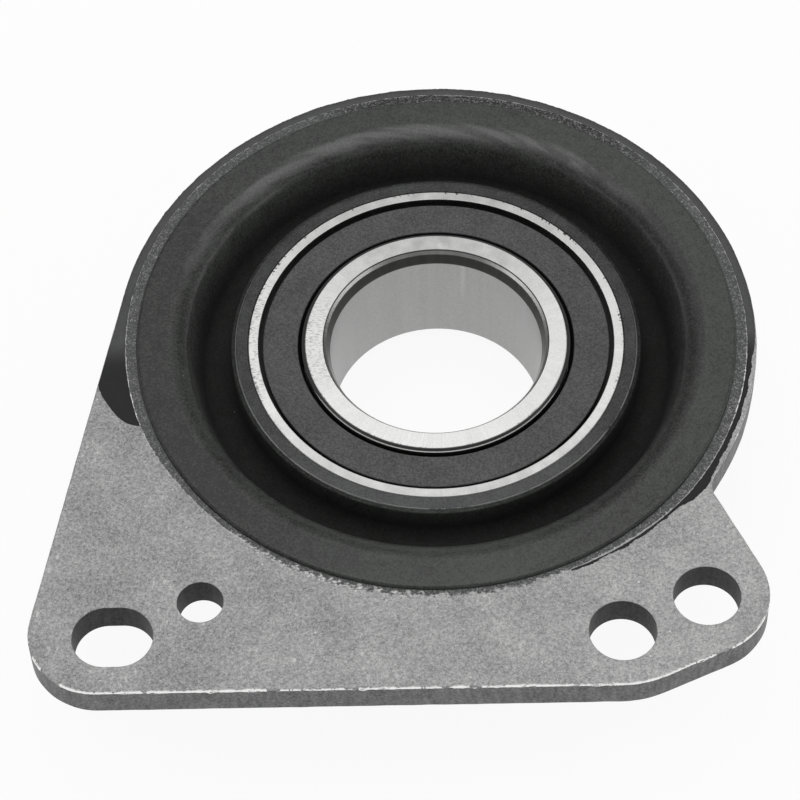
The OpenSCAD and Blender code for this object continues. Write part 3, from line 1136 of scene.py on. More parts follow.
def turned(name: str, section: Sequence[Point], segments: int = 240) -> bpy.types.Mesh:
    """A ring turned about the bore axis.

    Args:
        name: The mesh's name.
        section: Its closed section of radius and height, counter-clockwise.
        segments: Steps round the axis.

    Returns:
        The mesh, in metres.
    """
    rings = []
    for k in range(segments):
        angle = math.tau * k / segments
        x, y = math.cos(angle), math.sin(angle)
        rings.append([(r * MM * x, r * MM * y, z * MM) for r, z in section])
    return looped(name, rings)


@dataclass(frozen=True)
class FootEdge:
    """A straight edge of the foot: direction of its outward normal, and distance from the axis."""

    angle: float
    distance: float

    def normal(self) -> Vector:
        """Unit vector out of the plate."""
        return Vector((math.cos(math.radians(self.angle)), math.sin(math.radians(self.angle))))

    def meet(self, other: "FootEdge", inset: float) -> Vector:
        """The crossing with another edge, both moved inwards.

        Args:
            other: The other edge.
            inset: How far both move in.

        Returns:
            The point.
        """
        a, b = self.normal(), other.normal()
        p, q = self.distance - inset, other.distance - inset
        return Vector((p * b.y - q * a.y, q * a.x - p * b.x)) / (a.x * b.y - a.y * b.x)


def evenly(points: Sequence[Point], spacing: float) -> list[Vector]:
    """A closed line, sampled anew at even steps.

    Args:
        points: The line's points.
        spacing: The length of a step, about.

    Returns:
        The new points.
    """
    loop = [Vector(p) for p in points]
    legs = [(b - a).length for a, b in zip(loop, loop[1:] + loop[:1])]
    count = round(sum(legs) / spacing)
    step, sampled, leg, passed = sum(legs) / count, [], 0, 0.0
    for i in range(count):
        while passed + legs[leg] < i * step:
            passed += legs[leg]
            leg += 1
        share = (i * step - passed) / legs[leg]
        sampled.append(loop[leg].lerp(loop[(leg + 1) % len(loop)], share))
    return sampled


def side_normals(loop: Sequence[Vector]) -> list[Vector]:
    """Unit vectors to the right of a closed line, at each of its points.

    Args:
        loop: The line's points.

    Returns:
        One vector for each point.
    """
    normals = []
    for i in range(len(loop)):
        ahead = (loop[(i + 1) % len(loop)] - loop[i - 1]).normalized()
        normals.append(Vector((ahead.y, -ahead.x)))
    return normals


@dataclass(frozen=True)
class Wobble:
    """Repeatable noise on the plate: waves for each millimetre, and a seed for its pattern."""

    scale: float
    seed: float

    def at(self, point: Vector) -> float:
        """The noise at a point in millimetres, about -1 to 1."""
        return noise.noise(Vector((point.x * self.scale, point.y * self.scale, self.seed)))


def ease(value: float, start: float, end: float) -> float:
    """A soft step: 0 at start and before it, 1 at end and after it."""
    share = min(1.0, max(0.0, (value - start) / (end - start)))
    return share * share * (3.0 - 2.0 * share)


@dataclass
class EdgeBurr:
    """Ragged bright burr that shearing left along the plate's front edge."""

    plate: "MountingPlate"
    spacing: float = 0.09
    height: float = 0.22
    faint: float = 0.1
    toward_foot: float = 1.3
    head_share: float = 0.3
    head_margin: float = 0.3
    run_limits: Triple = (0.35, 0.85, 1.2)
    gap_from: Pair = (0.34, 0.4)
    tooth_mean: float = 0.72
    tooth_swing: Pair = (0.5, 0.8)
    tooth_least: float = 0.12
    bead_h: float = 0.5
    bead_from: Pair = (0.36, 0.46)
    sink: float = 0.24
    sink_until: float = 4.0
    drip_from: float = 0.33
    lean_by: float = 0.1
    heel: Triple = (0.1, 0.33, -0.03)
    root: Point = (0.6, -0.45)
    toe_inset: Pair = (0.2, 0.02)
    toe_drop: Triple = (-0.16, 0.16, 0.9)
    crest: Triple = (0.02, 0.06, 0.01)
    sharp_angle: float = 50.0
    runs: Wobble = Wobble(0.22, 5.3)
    gaps: Wobble = Wobble(0.3, 8.8)
    teeth: Wobble = Wobble(1.2, 3.1)
    fine_teeth: Wobble = Wobble(3.1, 7.7)
    beads: Wobble = Wobble(0.6, 14.2)
    drips: Wobble = Wobble(0.85, 21.4)
    lean: Wobble = Wobble(1.6, 12.5)

    def section(self, point: Vector, normal: Vector) -> list[Point]:
        """The burr's corners at a point of the outline.

        Args:
            point: The point.
            normal: The outline's outward normal there.

        Returns:
            Inset from the outline and rise above the front face: heel, root, toe and crest.
        """
        frontal = min(1.0, max(self.faint, self.faint - self.toward_foot * normal.y))
        if point.length < self.plate.head_r + self.head_margin:
            frontal *= self.head_share
        least, mean, swing = self.run_limits
        runs = min(1.0, max(least, mean + swing * self.runs.at(point)))
        runs *= 1.0 - ease(self.gaps.at(point), *self.gap_from)
        coarse, fine = self.tooth_swing
        teeth = self.tooth_mean + coarse * self.teeth.at(point) + fine * self.fine_teeth.at(point)
        bead = self.bead_h * ease(self.beads.at(point), *self.bead_from)
        size = frontal * runs * (min(1.0, max(self.tooth_least, teeth)) + bead)
        sunk = self.sink * (1.0 - min(1.0, self.sink_until * size))
        drip = frontal * max(0.0, self.drips.at(point) - self.drip_from)
        lean = self.lean_by * self.lean.at(point) * frontal
        heel, heel_by_size, heel_rise = self.heel
        toe_by_sunk, toe_out = self.toe_inset
        toe, toe_by_size, toe_by_drip = self.toe_drop
        crest, crest_by_size, crest_rise = self.crest
        return [
            (heel + heel_by_size * size + lean, heel_rise - sunk),
            self.root,
            (toe_by_sunk * sunk - toe_out, toe - sunk - toe_by_size * size - toe_by_drip * drip),
            (crest + crest_by_size * size + lean, crest_rise + self.height * size - sunk),
        ]

    def build(self) -> None:
        """Runs the burr round the outline and dresses it."""
        loop = self.plate.outline(self.spacing)
        rings = []
        for point, normal in zip(loop, side_normals(loop)):
            at = [(point - normal * inset, self.plate.thickness + rise)
                  for inset, rise in self.section(point, normal)]
            rings.append([(p.x * MM, p.y * MM, z * MM) for p, z in at])
        mesh = looped("plate_burr", rings, self.sharp_angle)
        new_piece("plate_burr", mesh, [WornEdge()], Body.BRACKET)


@dataclass
class RubberFlash:
    """Thin rubber that squeezed out of the mould on to the margin of the plate's head."""

    plate: "MountingPlate"
    thickness: float = 0.09
    inner_r: float = 43.7
    start: float = -66.0
    end: float = 199.8
    step: float = 0.15
    ragged: float = 0.09
    rim_gap: float = 0.08
    least_w: float = 0.05
    patch_turn: float = 190.4
    patch_r: float = 47.9
    patch_fall: Pair = (2.3, 1.8)
    patch_power: int = 6
    bare_edge: float = 0.48
    bare_reach: Pair = (1.0, 8.0)
    blotch_turn: float = -36.0
    blotch_w: float = 4.2
    blotch_h: float = 0.72
    tail_drop: float = 0.3
    tail_reach: Pair = (39.0, 44.0)
    tail_turn: float = 43.0
    tail_slope: float = 0.03
    inner_turn: float = 40.0
    inner_slope: float = 0.026
    inner_ragged: Pair = (0.06, 0.05)
    outer_ragged: Triple = (1.3, 0.5, 0.45)
    outer_shift: float = 0.5
    rougher: float = 1.2
    rougher_reach: Pair = (2.0, 10.0)
    sharp_angle: float = 50.0
    across: tuple[float, ...] = (0.0, 0.0, 0.12, 0.5, 0.88, 1.0, 1.0)
    lift: tuple[float, ...] = (-0.5, 0.25, 1.0, 0.75, 0.85, 0.2, -0.5)
    inner_wave: Wobble = Wobble(0.8, 1.7)
    inner_tooth: Wobble = Wobble(3.4, 4.1)
    outer_wave: Wobble = Wobble(0.5, 9.3)
    outer_tooth: Wobble = Wobble(1.7, 2.2)
    outer_fine: Wobble = Wobble(4.3, 6.6)

    def outer(self, turn: float) -> float:
        """Outer radius of the flash.

        Args:
            turn: Angle from the right of the axis, counter-clockwise.

        Returns:
            The radius, without its ragged edge.
        """
        left = self.plate.edges["left"]
        rim = self.plate.head_r - self.rim_gap
        if turn >= left.angle:
            straight = self.plate.head_r / math.cos(math.radians(turn - left.angle))
            fall = max(0.0, (turn - self.patch_turn) / (self.end - self.patch_turn))
            first, last = self.patch_fall
            patch = self.patch_r - first * fall - last * fall ** self.patch_power
            return min(straight - self.rim_gap, patch)
        if turn >= 0.0:
            return rim
        bare = self.bare_edge * ease(-turn, *self.bare_reach)
        blotch = self.blotch_h * math.exp(-((turn - self.blotch_turn) / self.blotch_w) ** 2)
        tail = self.tail_drop * ease(-turn, *self.tail_reach)
        tail += self.tail_slope * max(0.0, -turn - self.tail_turn)
        return rim - bare + blotch - tail

    def inner(self, turn: float) -> float:
        """Inner radius of the flash at an angle, without its ragged edge."""
        return self.inner_r - self.inner_slope * max(0.0, -turn - self.inner_turn)

    def row(self, turn: float) -> list[Triple]:
        """Corners of the flash across its width.

        Args:
            turn: Angle from the right of the axis, counter-clockwise.

        Returns:
            The corners, in metres.
        """
        angle = math.radians(turn)
        ray = Vector((math.cos(angle), math.sin(angle)))
        inner, outer = self.inner(turn), self.outer(turn)
        near, far = ray * inner, ray * outer
        waves, teeth = self.inner_ragged
        inner += waves * self.inner_wave.at(near) + teeth * self.inner_tooth.at(near)
        rough = self.ragged * (1.0 + self.rougher * ease(-turn, *self.rougher_reach))
        waves, teeth, fine = self.outer_ragged
        outer += rough * (waves * self.outer_wave.at(far) + teeth * self.outer_tooth.at(far)
                          + fine * self.outer_fine.at(far) - self.outer_shift)
        outer = max(outer, inner + self.least_w)
        at = [(ray * (inner + (outer - inner) * share), self.plate.thickness + self.thickness * z)
              for share, z in zip(self.across, self.lift)]
        return [(p.x * MM, p.y * MM, z * MM) for p, z in at]

    def build(self) -> None:
        """Lays the flash round the head and dresses it."""
        steps = round((self.end - self.start) / self.step)
        wide = len(self.across)
        corners = []
        for i in range(steps + 1):
            corners += self.row(self.start + (self.end - self.start) * i / steps)
        faces = [(i * wide + k, i * wide + (k + 1) % wide,
                  (i + 1) * wide + (k + 1) % wide, (i + 1) * wide + k)
                 for i in range(steps) for k in range(wide)]
        faces.append(tuple(range(wide - 1, -1, -1)))
        faces.append(tuple(steps * wide + k for k in range(wide)))
        mesh = bpy.data.meshes.new("rubber_flash")
        mesh.from_pydata(corners, [], faces)
        smooth_by_angle(mesh, self.sharp_angle)
        new_piece("rubber_flash", mesh, [FlashRubber()], Body.BRACKET)


class PlateFace(Enum):
    """Material indices of the plate's mesh."""

    FLAT = 0
    WALL = 1
    HOLE = 2


@dataclass
class MountingPlate:
    """Blasted steel plate: round head, and foot with holes."""

    thickness: float = PLATE_T
    head_r: float = 45.0
    isolator_hole_r: float = ISOLATOR_HOLE_R
    left_lean: float = 10.9
    right_lean: float = 25.4
    ramp: float = 24.2
    corner_r: float = 9.5
    blend_r: float = 15.0
    notch_r: float = 3.0
    bottom_margin: float = 8.15
    ramp_margin: float = 8.5
    right_margin: float = 8.75
    bolt: Point = (24.0, -48.85)
    bolt_pitch: float = 12.5
    bolt_r: float = 4.5
    slot: Point = (-43.5, -48.5)
    slot_r: float = 4.5
    slot_run: float = 1.8
    locating: Point = (-32.0, -43.35)
    locating_r: float = 3.1
    spacing: float = 0.3
    edge_round: float = 0.28
    hole_round: float = 0.12
    waviness: float = 0.05
    wave_scale: float = 0.35
    wave_twist: float = 0.6
    foot_step: float = 2.0
    notch_step: float = 4.0
    head_step: float = 0.5
    hole_step: float = 3.0
    edge_step: float = 22.5
    sharp_angle: float = 10.0
    bolt_b: Vector = field(init=False)
    edges: dict[str, FootEdge] = field(init=False)

    def __post_init__(self) -> None:
        """Works out the straight edges of the foot from the holes and margins."""
        bolt_a = Vector(self.bolt)
        row = math.radians(self.ramp)
        self.bolt_b = bolt_a + self.bolt_pitch * Vector((math.cos(row), math.sin(row)))
        ramp_normal = FootEdge(self.ramp - 90.0, 0.0).normal()
        right_normal = FootEdge(self.right_lean, 0.0).normal()
        self.edges = {
            "left": FootEdge(180.0 - self.left_lean, self.head_r),
            "bottom": FootEdge(270.0, self.bottom_margin - self.bolt[1]),
            "ramp": FootEdge(270.0 + self.ramp, ramp_normal.dot(bolt_a) + self.ramp_margin),
            "right": FootEdge(360.0 + self.right_lean,
                              right_normal.dot(self.bolt_b) + self.right_margin),
        }

    def outline(self, spacing: float) -> list[Vector]:
        """The plate's outline, counter-clockwise and evenly sampled.

        Args:
            spacing: The length of a step, about.

        Returns:
            The points.
        """
        left, bottom, ramp, right = (self.edges[k] for k in ("left", "bottom", "ramp", "right"))
        low_left = left.meet(bottom, self.corner_r)
        blend = bottom.meet(ramp, self.blend_r)
        low_right = ramp.meet(right, self.corner_r)
        out = right.distance + self.notch_r
        down = math.sqrt((self.head_r + self.notch_r) ** 2 - out ** 2)
        notch = right.normal() * out + Vector((right.normal().y, -right.normal().x)) * down
        notch_turn = math.degrees(math.atan2(notch.y, notch.x))
        points = arc(low_left, self.corner_r, left.angle, bottom.angle, self.foot_step)
        points += arc(blend, self.blend_r, bottom.angle, ramp.angle, self.foot_step)
        points += arc(low_right, self.corner_r, ramp.angle, right.angle, self.foot_step)
        points += arc(notch, self.notch_r, self.right_lean + 180.0, notch_turn + 180.0,
                      self.notch_step)
        points += arc((0.0, 0.0), self.head_r, notch_turn, left.angle, self.head_step)
        return evenly(points, spacing)

    def holes(self) -> list[list[Vector]]:
        """Outlines of the holes, clockwise: bolts, locating hole, isolator hole and slot.

        Returns:
            The points of each outline.
        """
        rounds = [(self.bolt, self.bolt_r), (self.bolt_b, self.bolt_r),
                  (self.locating, self.locating_r), ((0.0, 0.0), self.isolator_hole_r)]
        loops = [arc(Vector(c), r, 360.0, 0.0, self.hole_step)[:-1] for c, r in rounds]
        half = Vector((self.slot_run / 2, 0.0))
        slot = arc(Vector(self.slot) + half, self.slot_r, 90.0, -90.0, self.hole_step)
        slot += arc(Vector(self.slot) - half, self.slot_r, 270.0, 90.0, self.hole_step)
        return [[Vector(p) for p in loop] for loop in (*loops, slot)]

    def wall_profile(self, rounding: float) -> list[Point]:
        """Inset and height of a wall with rounded edges, from the rear face to the front.

        Args:
            rounding: Radius of the two edges.

        Returns:
            The points of the profile.
        """
        rear = arc((rounding, rounding), rounding, 270.0, 180.0, self.edge_step)
        front = arc((rounding, self.thickness - rounding), rounding, 180.0, 90.0, self.edge_step)
        return rear + [(0.0, self.thickness / 2)] + front

    def wall(self, mesh: bmesh.types.BMesh, loop: Sequence[Vector], rounding: float,
             inner: bool) -> tuple[list[bmesh.types.BMEdge], list[bmesh.types.BMEdge]]:
        """Adds the wall along one outline.

        Args:
            mesh: The plate's mesh.
            loop: The outline, with the steel on its left.
            rounding: Radius of the two edges.
            inner: True for the wall of a hole.

        Returns:
            The edges that bound the rear face, and those that bound the front face.
        """
        normals = side_normals(loop)
        profile = self.wall_profile(rounding)
        rings = []
        for inset, height in profile:
            ring = []
            wave = Wobble(self.wave_scale, height * self.wave_twist)
            for point, normal in zip(loop, normals):
                sway = 0.0 if inner else self.waviness * wave.at(point)
                at = point - normal * (inset - sway)
                ring.append(mesh.verts.new((at.x * MM, at.y * MM, height * MM)))
            rings.append(ring)
        for level, (low, high) in enumerate(zip(rings, rings[1:])):
            front = profile[level][1] > self.thickness - rounding
            face_kind = PlateFace.FLAT if front else PlateFace.HOLE if inner else PlateFace.WALL
            for i in range(len(loop)):
                j = (i + 1) % len(loop)
                face = mesh.faces.new((low[i], low[j], high[j], high[i]))
                face.material_index = face_kind.value
        bounds = []
        for ring in (rings[0], rings[-1]):
            pairs = zip(ring, ring[1:] + ring[:1])
            bounds.append([mesh.edges.get(pair) for pair in pairs])
        return bounds[0], bounds[1]

    def build_sheet(self) -> None:
        """The plate itself, with softened edges and true holes."""
        mesh = bmesh.new()
        walls = [self.wall(mesh, self.outline(self.spacing), self.edge_round, False)]
        walls += [self.wall(mesh, hole, self.hole_round, True) for hole in self.holes()]
        for side, up in ((0, -1.0), (1, 1.0)):
            rim = [edge for wall in walls for edge in wall[side]]
            filled = bmesh.ops.triangle_fill(mesh, use_beauty=True, edges=rim, normal=(0, 0, up))
            flat = [f for f in filled["geom"] if isinstance(f, bmesh.types.BMFace)]
            for face in flat:
                face.material_index = PlateFace.FLAT.value
                face.normal_update()
                if face.normal.z * up < 0:
                    face.normal_flip()
        data = bpy.data.meshes.new("plate_sheet")
        mesh.to_mesh(data)
        mesh.free()
        smooth_by_angle(data, self.sharp_angle)
        finishes = [BlastedSteel(), CutSteel(), HOLE_WALL]
        new_piece("plate_sheet", data, finishes, Body.BRACKET, "mounting_plate")

    def build(self) -> None:
        """Builds the sheet, its burr and the rubber flash on it."""
        self.build_sheet()
        EdgeBurr(self).build()
        RubberFlash(self).build()


@dataclass
class Isolator:
    """Rubber ring between plate and sleeve: front lip, rolled mouth, groove, web and skirt."""

    plate_t: float = PLATE_T
    hole_r: float = ISOLATOR_HOLE_R
    lip_r: float = 42.15
    lip_t: float = 0.6
    mouth_r: float = 35.0
    roll_w: float = 2.8
    roll_drop: float = 1.15
    groove_depth: float = 8.0
    floor_round: float = 2.2
    sleeve_r: float = SLEEVE_R
    skin_t: float = 0.5
    hub_front: float = 3.05
    web_t: float = 4.0
    skirt_l: float = 5.0
    skirt_t: float = 0.8
    edge_round: float = 0.2
    lip_round: float = 0.45
    roll_step: float = 1.5
    web_step: float = 4.0
    floor_step: float = 6.0
    segments: int = 300

    def section(self) -> list[Point]:
        """The ring's section, counter-clockwise from the foot of the skirt.

        Returns:
            Its points.
        """
        front = self.plate_t + self.lip_t
        mouth = Vector((self.mouth_r, front - self.roll_drop))
        floor = Vector((self.sleeve_r + self.skin_t + self.floor_round,
                        front - self.groove_depth + self.floor_round))
        web_r = self.floor_round + self.web_t
        roll_r = (self.roll_w ** 2 + self.roll_drop ** 2) / (2 * self.roll_drop)
        roll_start = math.degrees(math.asin(self.roll_w / roll_r)) + 90.0
        skirt_foot = floor.y - web_r - self.skirt_l
        to_mouth = mouth - floor
        wall_turn = math.degrees(math.atan2(to_mouth.y, to_mouth.x)
                                 - math.acos(self.floor_round / to_mouth.length))
        lower = rounded([
            Corner(self.sleeve_r, skirt_foot),
            Corner(self.sleeve_r + self.skirt_t, skirt_foot, self.edge_round),
            Corner(floor.x, floor.y - web_r),
        ])
        upper = rounded([
            Corner(floor.x + web_r, floor.y),
            Corner(floor.x + web_r, 0.0, self.edge_round),
            Corner(self.hole_r, 0.0),
            Corner(self.hole_r, self.plate_t),
            Corner(self.lip_r, self.plate_t),
            Corner(self.lip_r, front, self.lip_round),
            Corner(self.mouth_r + self.roll_w, front),
        ])
        roll = arc((self.mouth_r + self.roll_w, front - roll_r), roll_r, 90.0, roll_start,
                   self.roll_step)
        hub = rounded([
            Corner(self.sleeve_r + self.skin_t, floor.y),
            Corner(self.sleeve_r + self.skin_t, self.hub_front, self.edge_round),
            Corner(self.sleeve_r, self.hub_front),
        ])
        web = arc(floor, web_r, -90.0, 0.0, self.web_step)
        bowl = arc(floor, self.floor_round, wall_turn, -180.0, self.floor_step)
        return lower[:-1] + web + upper[1:-1] + roll + bowl + hub[1:]

    def build(self) -> None:
        """Turns the ring and dresses it."""
        mesh = turned("isolator_ring", self.section(), self.segments)
        new_piece("isolator_ring", mesh, [MouldedRubber()], Body.BRACKET,
                  "rubber_isolator")


@dataclass
class Sleeve:
    """Drawn steel sleeve, rolled over the bearing at the front and flanged at the rear."""

    outer_r: float = SLEEVE_R
    bearing_r: float = BEARING_R
    front: float = BEARING_FRONT
    rear: float = SLEEVE_REAR
    flange_t: float = 1.0
    flange_w: float = 3.2
    bend_r: float = 1.4
    rim_round: float = 0.35
    lip_round: float = 0.12
    corner_c: float = RACE_CORNER

    def build(self) -> None:
        """Turns the sleeve and dresses it."""
        inner_r = self.outer_r - self.flange_w
        floor = self.rear + self.flange_t
        section = rounded([
            Corner(inner_r, self.rear, self.lip_round),
            Corner(self.outer_r, self.rear, self.bend_r),
            Corner(self.outer_r, self.front, self.rim_round),
            Corner(self.bearing_r - self.corner_c, self.front, self.lip_round),
            Corner(self.bearing_r, self.front - self.corner_c),
            Corner(self.bearing_r, floor),
            Corner(inner_r, floor, self.lip_round),
        ])
        mesh = turned("sleeve_shell", section)
        new_piece("sleeve_shell", mesh, [CoatedSteel()], Body.BRACKET,
                  "bearing_sleeve")


@dataclass
class BearingRaces:
    """Ground outer and inner race, with raceways, shoulders, seal seats and edge breaks."""

    bore_r: float = BORE_R
    outer_r: float = BEARING_R
    width: float = 19.0
    front: float = BEARING_FRONT
    corner_c: float = RACE_CORNER
    lead_l: float = 2.1
    lead_h: float = 0.95
    break_h: float = 0.42
    break_l: float = 0.55
    tail_c: float = 0.9
    inner_rim_t: float = 3.75
    inner_edge_c: float = 0.35
    outer_rim_t: float = 2.4
    ball_r: float = 3.572
    raceway_share: float = 0.52
    raceway_step: float = 4.0
    ball_clear: float = 0.04
    shoulder_gap: float = 4.2
    seal_bay: float = SEAL_BAY
    catch_set: float = CATCH_SET
    catch_w: float = CATCH_W
    catch_h: float = CATCH_H
    ledge_w: float = 0.6
    collar_set: float = 0.32
    collar_w: float = 0.2
    collar_fall: float = 0.07
    collar_end: float = 0.95
    edge_round: float = 0.08

    def mirrored(self, front: Sequence[Corner], raceway: Sequence[Point]) -> list[Point]:
        """A section from its front half, with the raceway in its middle.

        Args:
            front: Corners of the front half, above the bearing's middle plane.
            raceway: Points of the raceway's arc, about that plane.

        Returns:
            The whole section at its place on the axis, counter-clockwise.
        """
        rear = [Corner(c.r, -c.z, c.rounding) for c in reversed(front)]
        middle = self.front - self.width / 2
        points = rounded([*front, *(Corner(r, z) for r, z in raceway), *rear])
        return [(r, z + middle) for r, z in points]

    def raceway(self, outward: bool) -> list[Point]:
        """The raceway's arc from front to rear, about the bearing's middle plane.

        Args:
            outward: True for the outer race.

        Returns:
            The points of the arc.
        """
        pitch = (self.bore_r + self.outer_r) / 2
        radius = 2 * self.ball_r * self.raceway_share
        side = 1.0 if outward else -1.0
        centre = pitch + side * (self.ball_r + self.ball_clear - radius)
        shoulder = pitch + side * self.shoulder_gap / 2
        reach = math.degrees(math.acos((shoulder - centre) * side / radius))
        middle = 0.0 if outward else 180.0
        return arc((centre, 0.0), radius, middle + reach, middle - reach, self.raceway_step)

    def outer_section(self) -> list[Point]:
        """Section of the outer race.

        Returns:
            Its points, counter-clockwise.
        """
        half, soft = self.width / 2, self.edge_round
        seat = self.outer_r - self.outer_rim_t
        catch_end = half - self.catch_set - self.catch_w
        shoulder = (self.bore_r + self.outer_r + self.shoulder_gap) / 2
        return self.mirrored([
            Corner(self.outer_r, half - self.corner_c),
            Corner(self.outer_r - self.corner_c, half, soft),
            Corner(seat, half, soft),
            Corner(seat, half - self.catch_set),
            Corner(seat + self.catch_h, half - self.catch_set),
            Corner(seat + self.catch_h, catch_end),
            Corner(seat - self.ledge_w, catch_end),
            Corner(shoulder, half - self.seal_bay),
        ], self.raceway(True))

    def inner_section(self) -> list[Point]:
        """Section of the inner race, with a long lead-in at the front of its bore.

        Returns:
            Its points, counter-clockwise.
        """
        half, soft = self.width / 2, self.edge_round
        land = self.bore_r + self.inner_rim_t
        shoulder = (self.bore_r + self.outer_r - self.shoulder_gap) / 2
        middle = self.front - half
        points = rounded([
            Corner(self.bore_r, self.tail_c - half, soft),
            Corner(self.bore_r + self.tail_c, -half, soft),
            Corner(land, -half, self.inner_edge_c),
            Corner(land, self.seal_bay - half),
            Corner(shoulder, self.seal_bay - half),
            *(Corner(r, -z) for r, z in self.raceway(False)),
            Corner(shoulder, half - self.seal_bay),
            Corner(land, half - self.seal_bay),
            Corner(land, half - self.collar_end),
            Corner(land + self.collar_w, half - self.collar_end),
            Corner(land + self.collar_w, half - self.collar_set - self.collar_fall, soft / 2),
            Corner(land + soft, half - self.collar_set),
            Corner(land, half - self.inner_edge_c),
            Corner(land - self.inner_edge_c, half, soft),
            Corner(self.bore_r + self.lead_h, half, soft),
            Corner(self.bore_r + self.lead_h - self.break_h, half - self.break_l, soft * 2),
            Corner(self.bore_r, half - self.lead_l, soft),
        ])
        return [(r, z + middle) for r, z in points]

    def build(self) -> None:
        """Turns both races and dresses them."""
        for name, section, body, node in (
            ("outer_race_ring", self.outer_section(), Body.BRACKET, "outer_race"),
            ("inner_race_ring", self.inner_section(), Body.INNER_RING, "inner_race"),
        ):
            new_piece(name, turned(name, section), [GroundSteel()], body, node)


@dataclass
class Seals:
    """Moulded seals: disc, bead in the catch groove, and lip beside the inner race."""

    land_r: float = 18.75
    seat_r: float = 25.1
    half_width: float = 9.5
    middle: float = BEARING_MIDDLE
    set_back: float = 0.53
    disc_t: float = 1.0
    ring_gap: float = 0.65
    shaft_gap: float = 0.75
    catch_set: float = CATCH_SET
    catch_w: float = CATCH_W
    catch_h: float = CATCH_H
    bead_clear: float = 0.02
    lip_t: float = 0.5
    lip_edge: float = 0.25
    end_gap: float = 0.5
    lip_clear: float = 0.1
    bay: float = SEAL_BAY
    edge_round: float = 0.16

    def section(self) -> list[Corner]:
        """Corners of the front seal about the bearing's middle plane, counter-clockwise.

        Returns:
            The corners.
        """
        face, soft = self.half_width - self.set_back, self.edge_round
        disc = face - self.disc_t
        inner, outer = self.land_r + self.shaft_gap, self.seat_r - self.ring_gap
        bead_r = self.seat_r + self.catch_h - self.bead_clear
        bead_top = self.half_width - self.catch_set - self.bead_clear
        bead_low = self.half_width - self.catch_set - self.catch_w + self.bead_clear
        lip_r, lip_low = self.land_r + self.lip_clear, self.half_width - self.bay + self.end_gap
        return [
            Corner(inner, disc + self.lip_edge),
            Corner(lip_r, lip_low + self.lip_edge),
            Corner(lip_r, lip_low),
            Corner(lip_r + self.lip_t, lip_low),
            Corner(inner + self.disc_t, disc),
            Corner(outer - self.disc_t, disc),
            Corner(outer - self.disc_t, bead_low),
            Corner(bead_r, bead_low),
            Corner(bead_r, bead_top),
            Corner(outer, bead_top),
            Corner(outer, face, soft),
            Corner(inner, face, soft),
        ]

    def build(self) -> None:
        """Turns both seals and dresses them."""
        front = self.section()
        rear = [Corner(c.r, -c.z, c.rounding) for c in reversed(front)]
        for name, corners, node in (("front_seal_ring", front, "seal_front"),
                                    ("rear_seal_ring", rear, "seal_rear")):
            section = [(r, z + self.middle) for r, z in rounded(corners)]
            new_piece(name, turned(name, section), [SealRubber()], Body.BRACKET, node)


@dataclass
class BallSet:
    """Balls and riveted cage: CAD nodes that keep their form and get their finish."""

    ball_prefix: str = "ball_"
    cage_prefix: str = "cage_"

    def nodes(self, prefix: str) -> Iterable[tuple[str, bpy.types.Object]]:
        """The CAD nodes whose names start so."""
        return ((name, node) for name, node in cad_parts.items() if name.startswith(prefix))

    def build(self) -> None:
        """Dresses the balls and the cage."""
        dressed = {self.ball_prefix: PolishedSteel(), self.cage_prefix: PressedSteel()}
        for prefix, finish in dressed.items():
            for name, node in self.nodes(prefix):
                node.data.materials.clear()
                node.data.materials.append(finish.material())
                LOG.info("%s: CAD node in %s", name, finish.name)


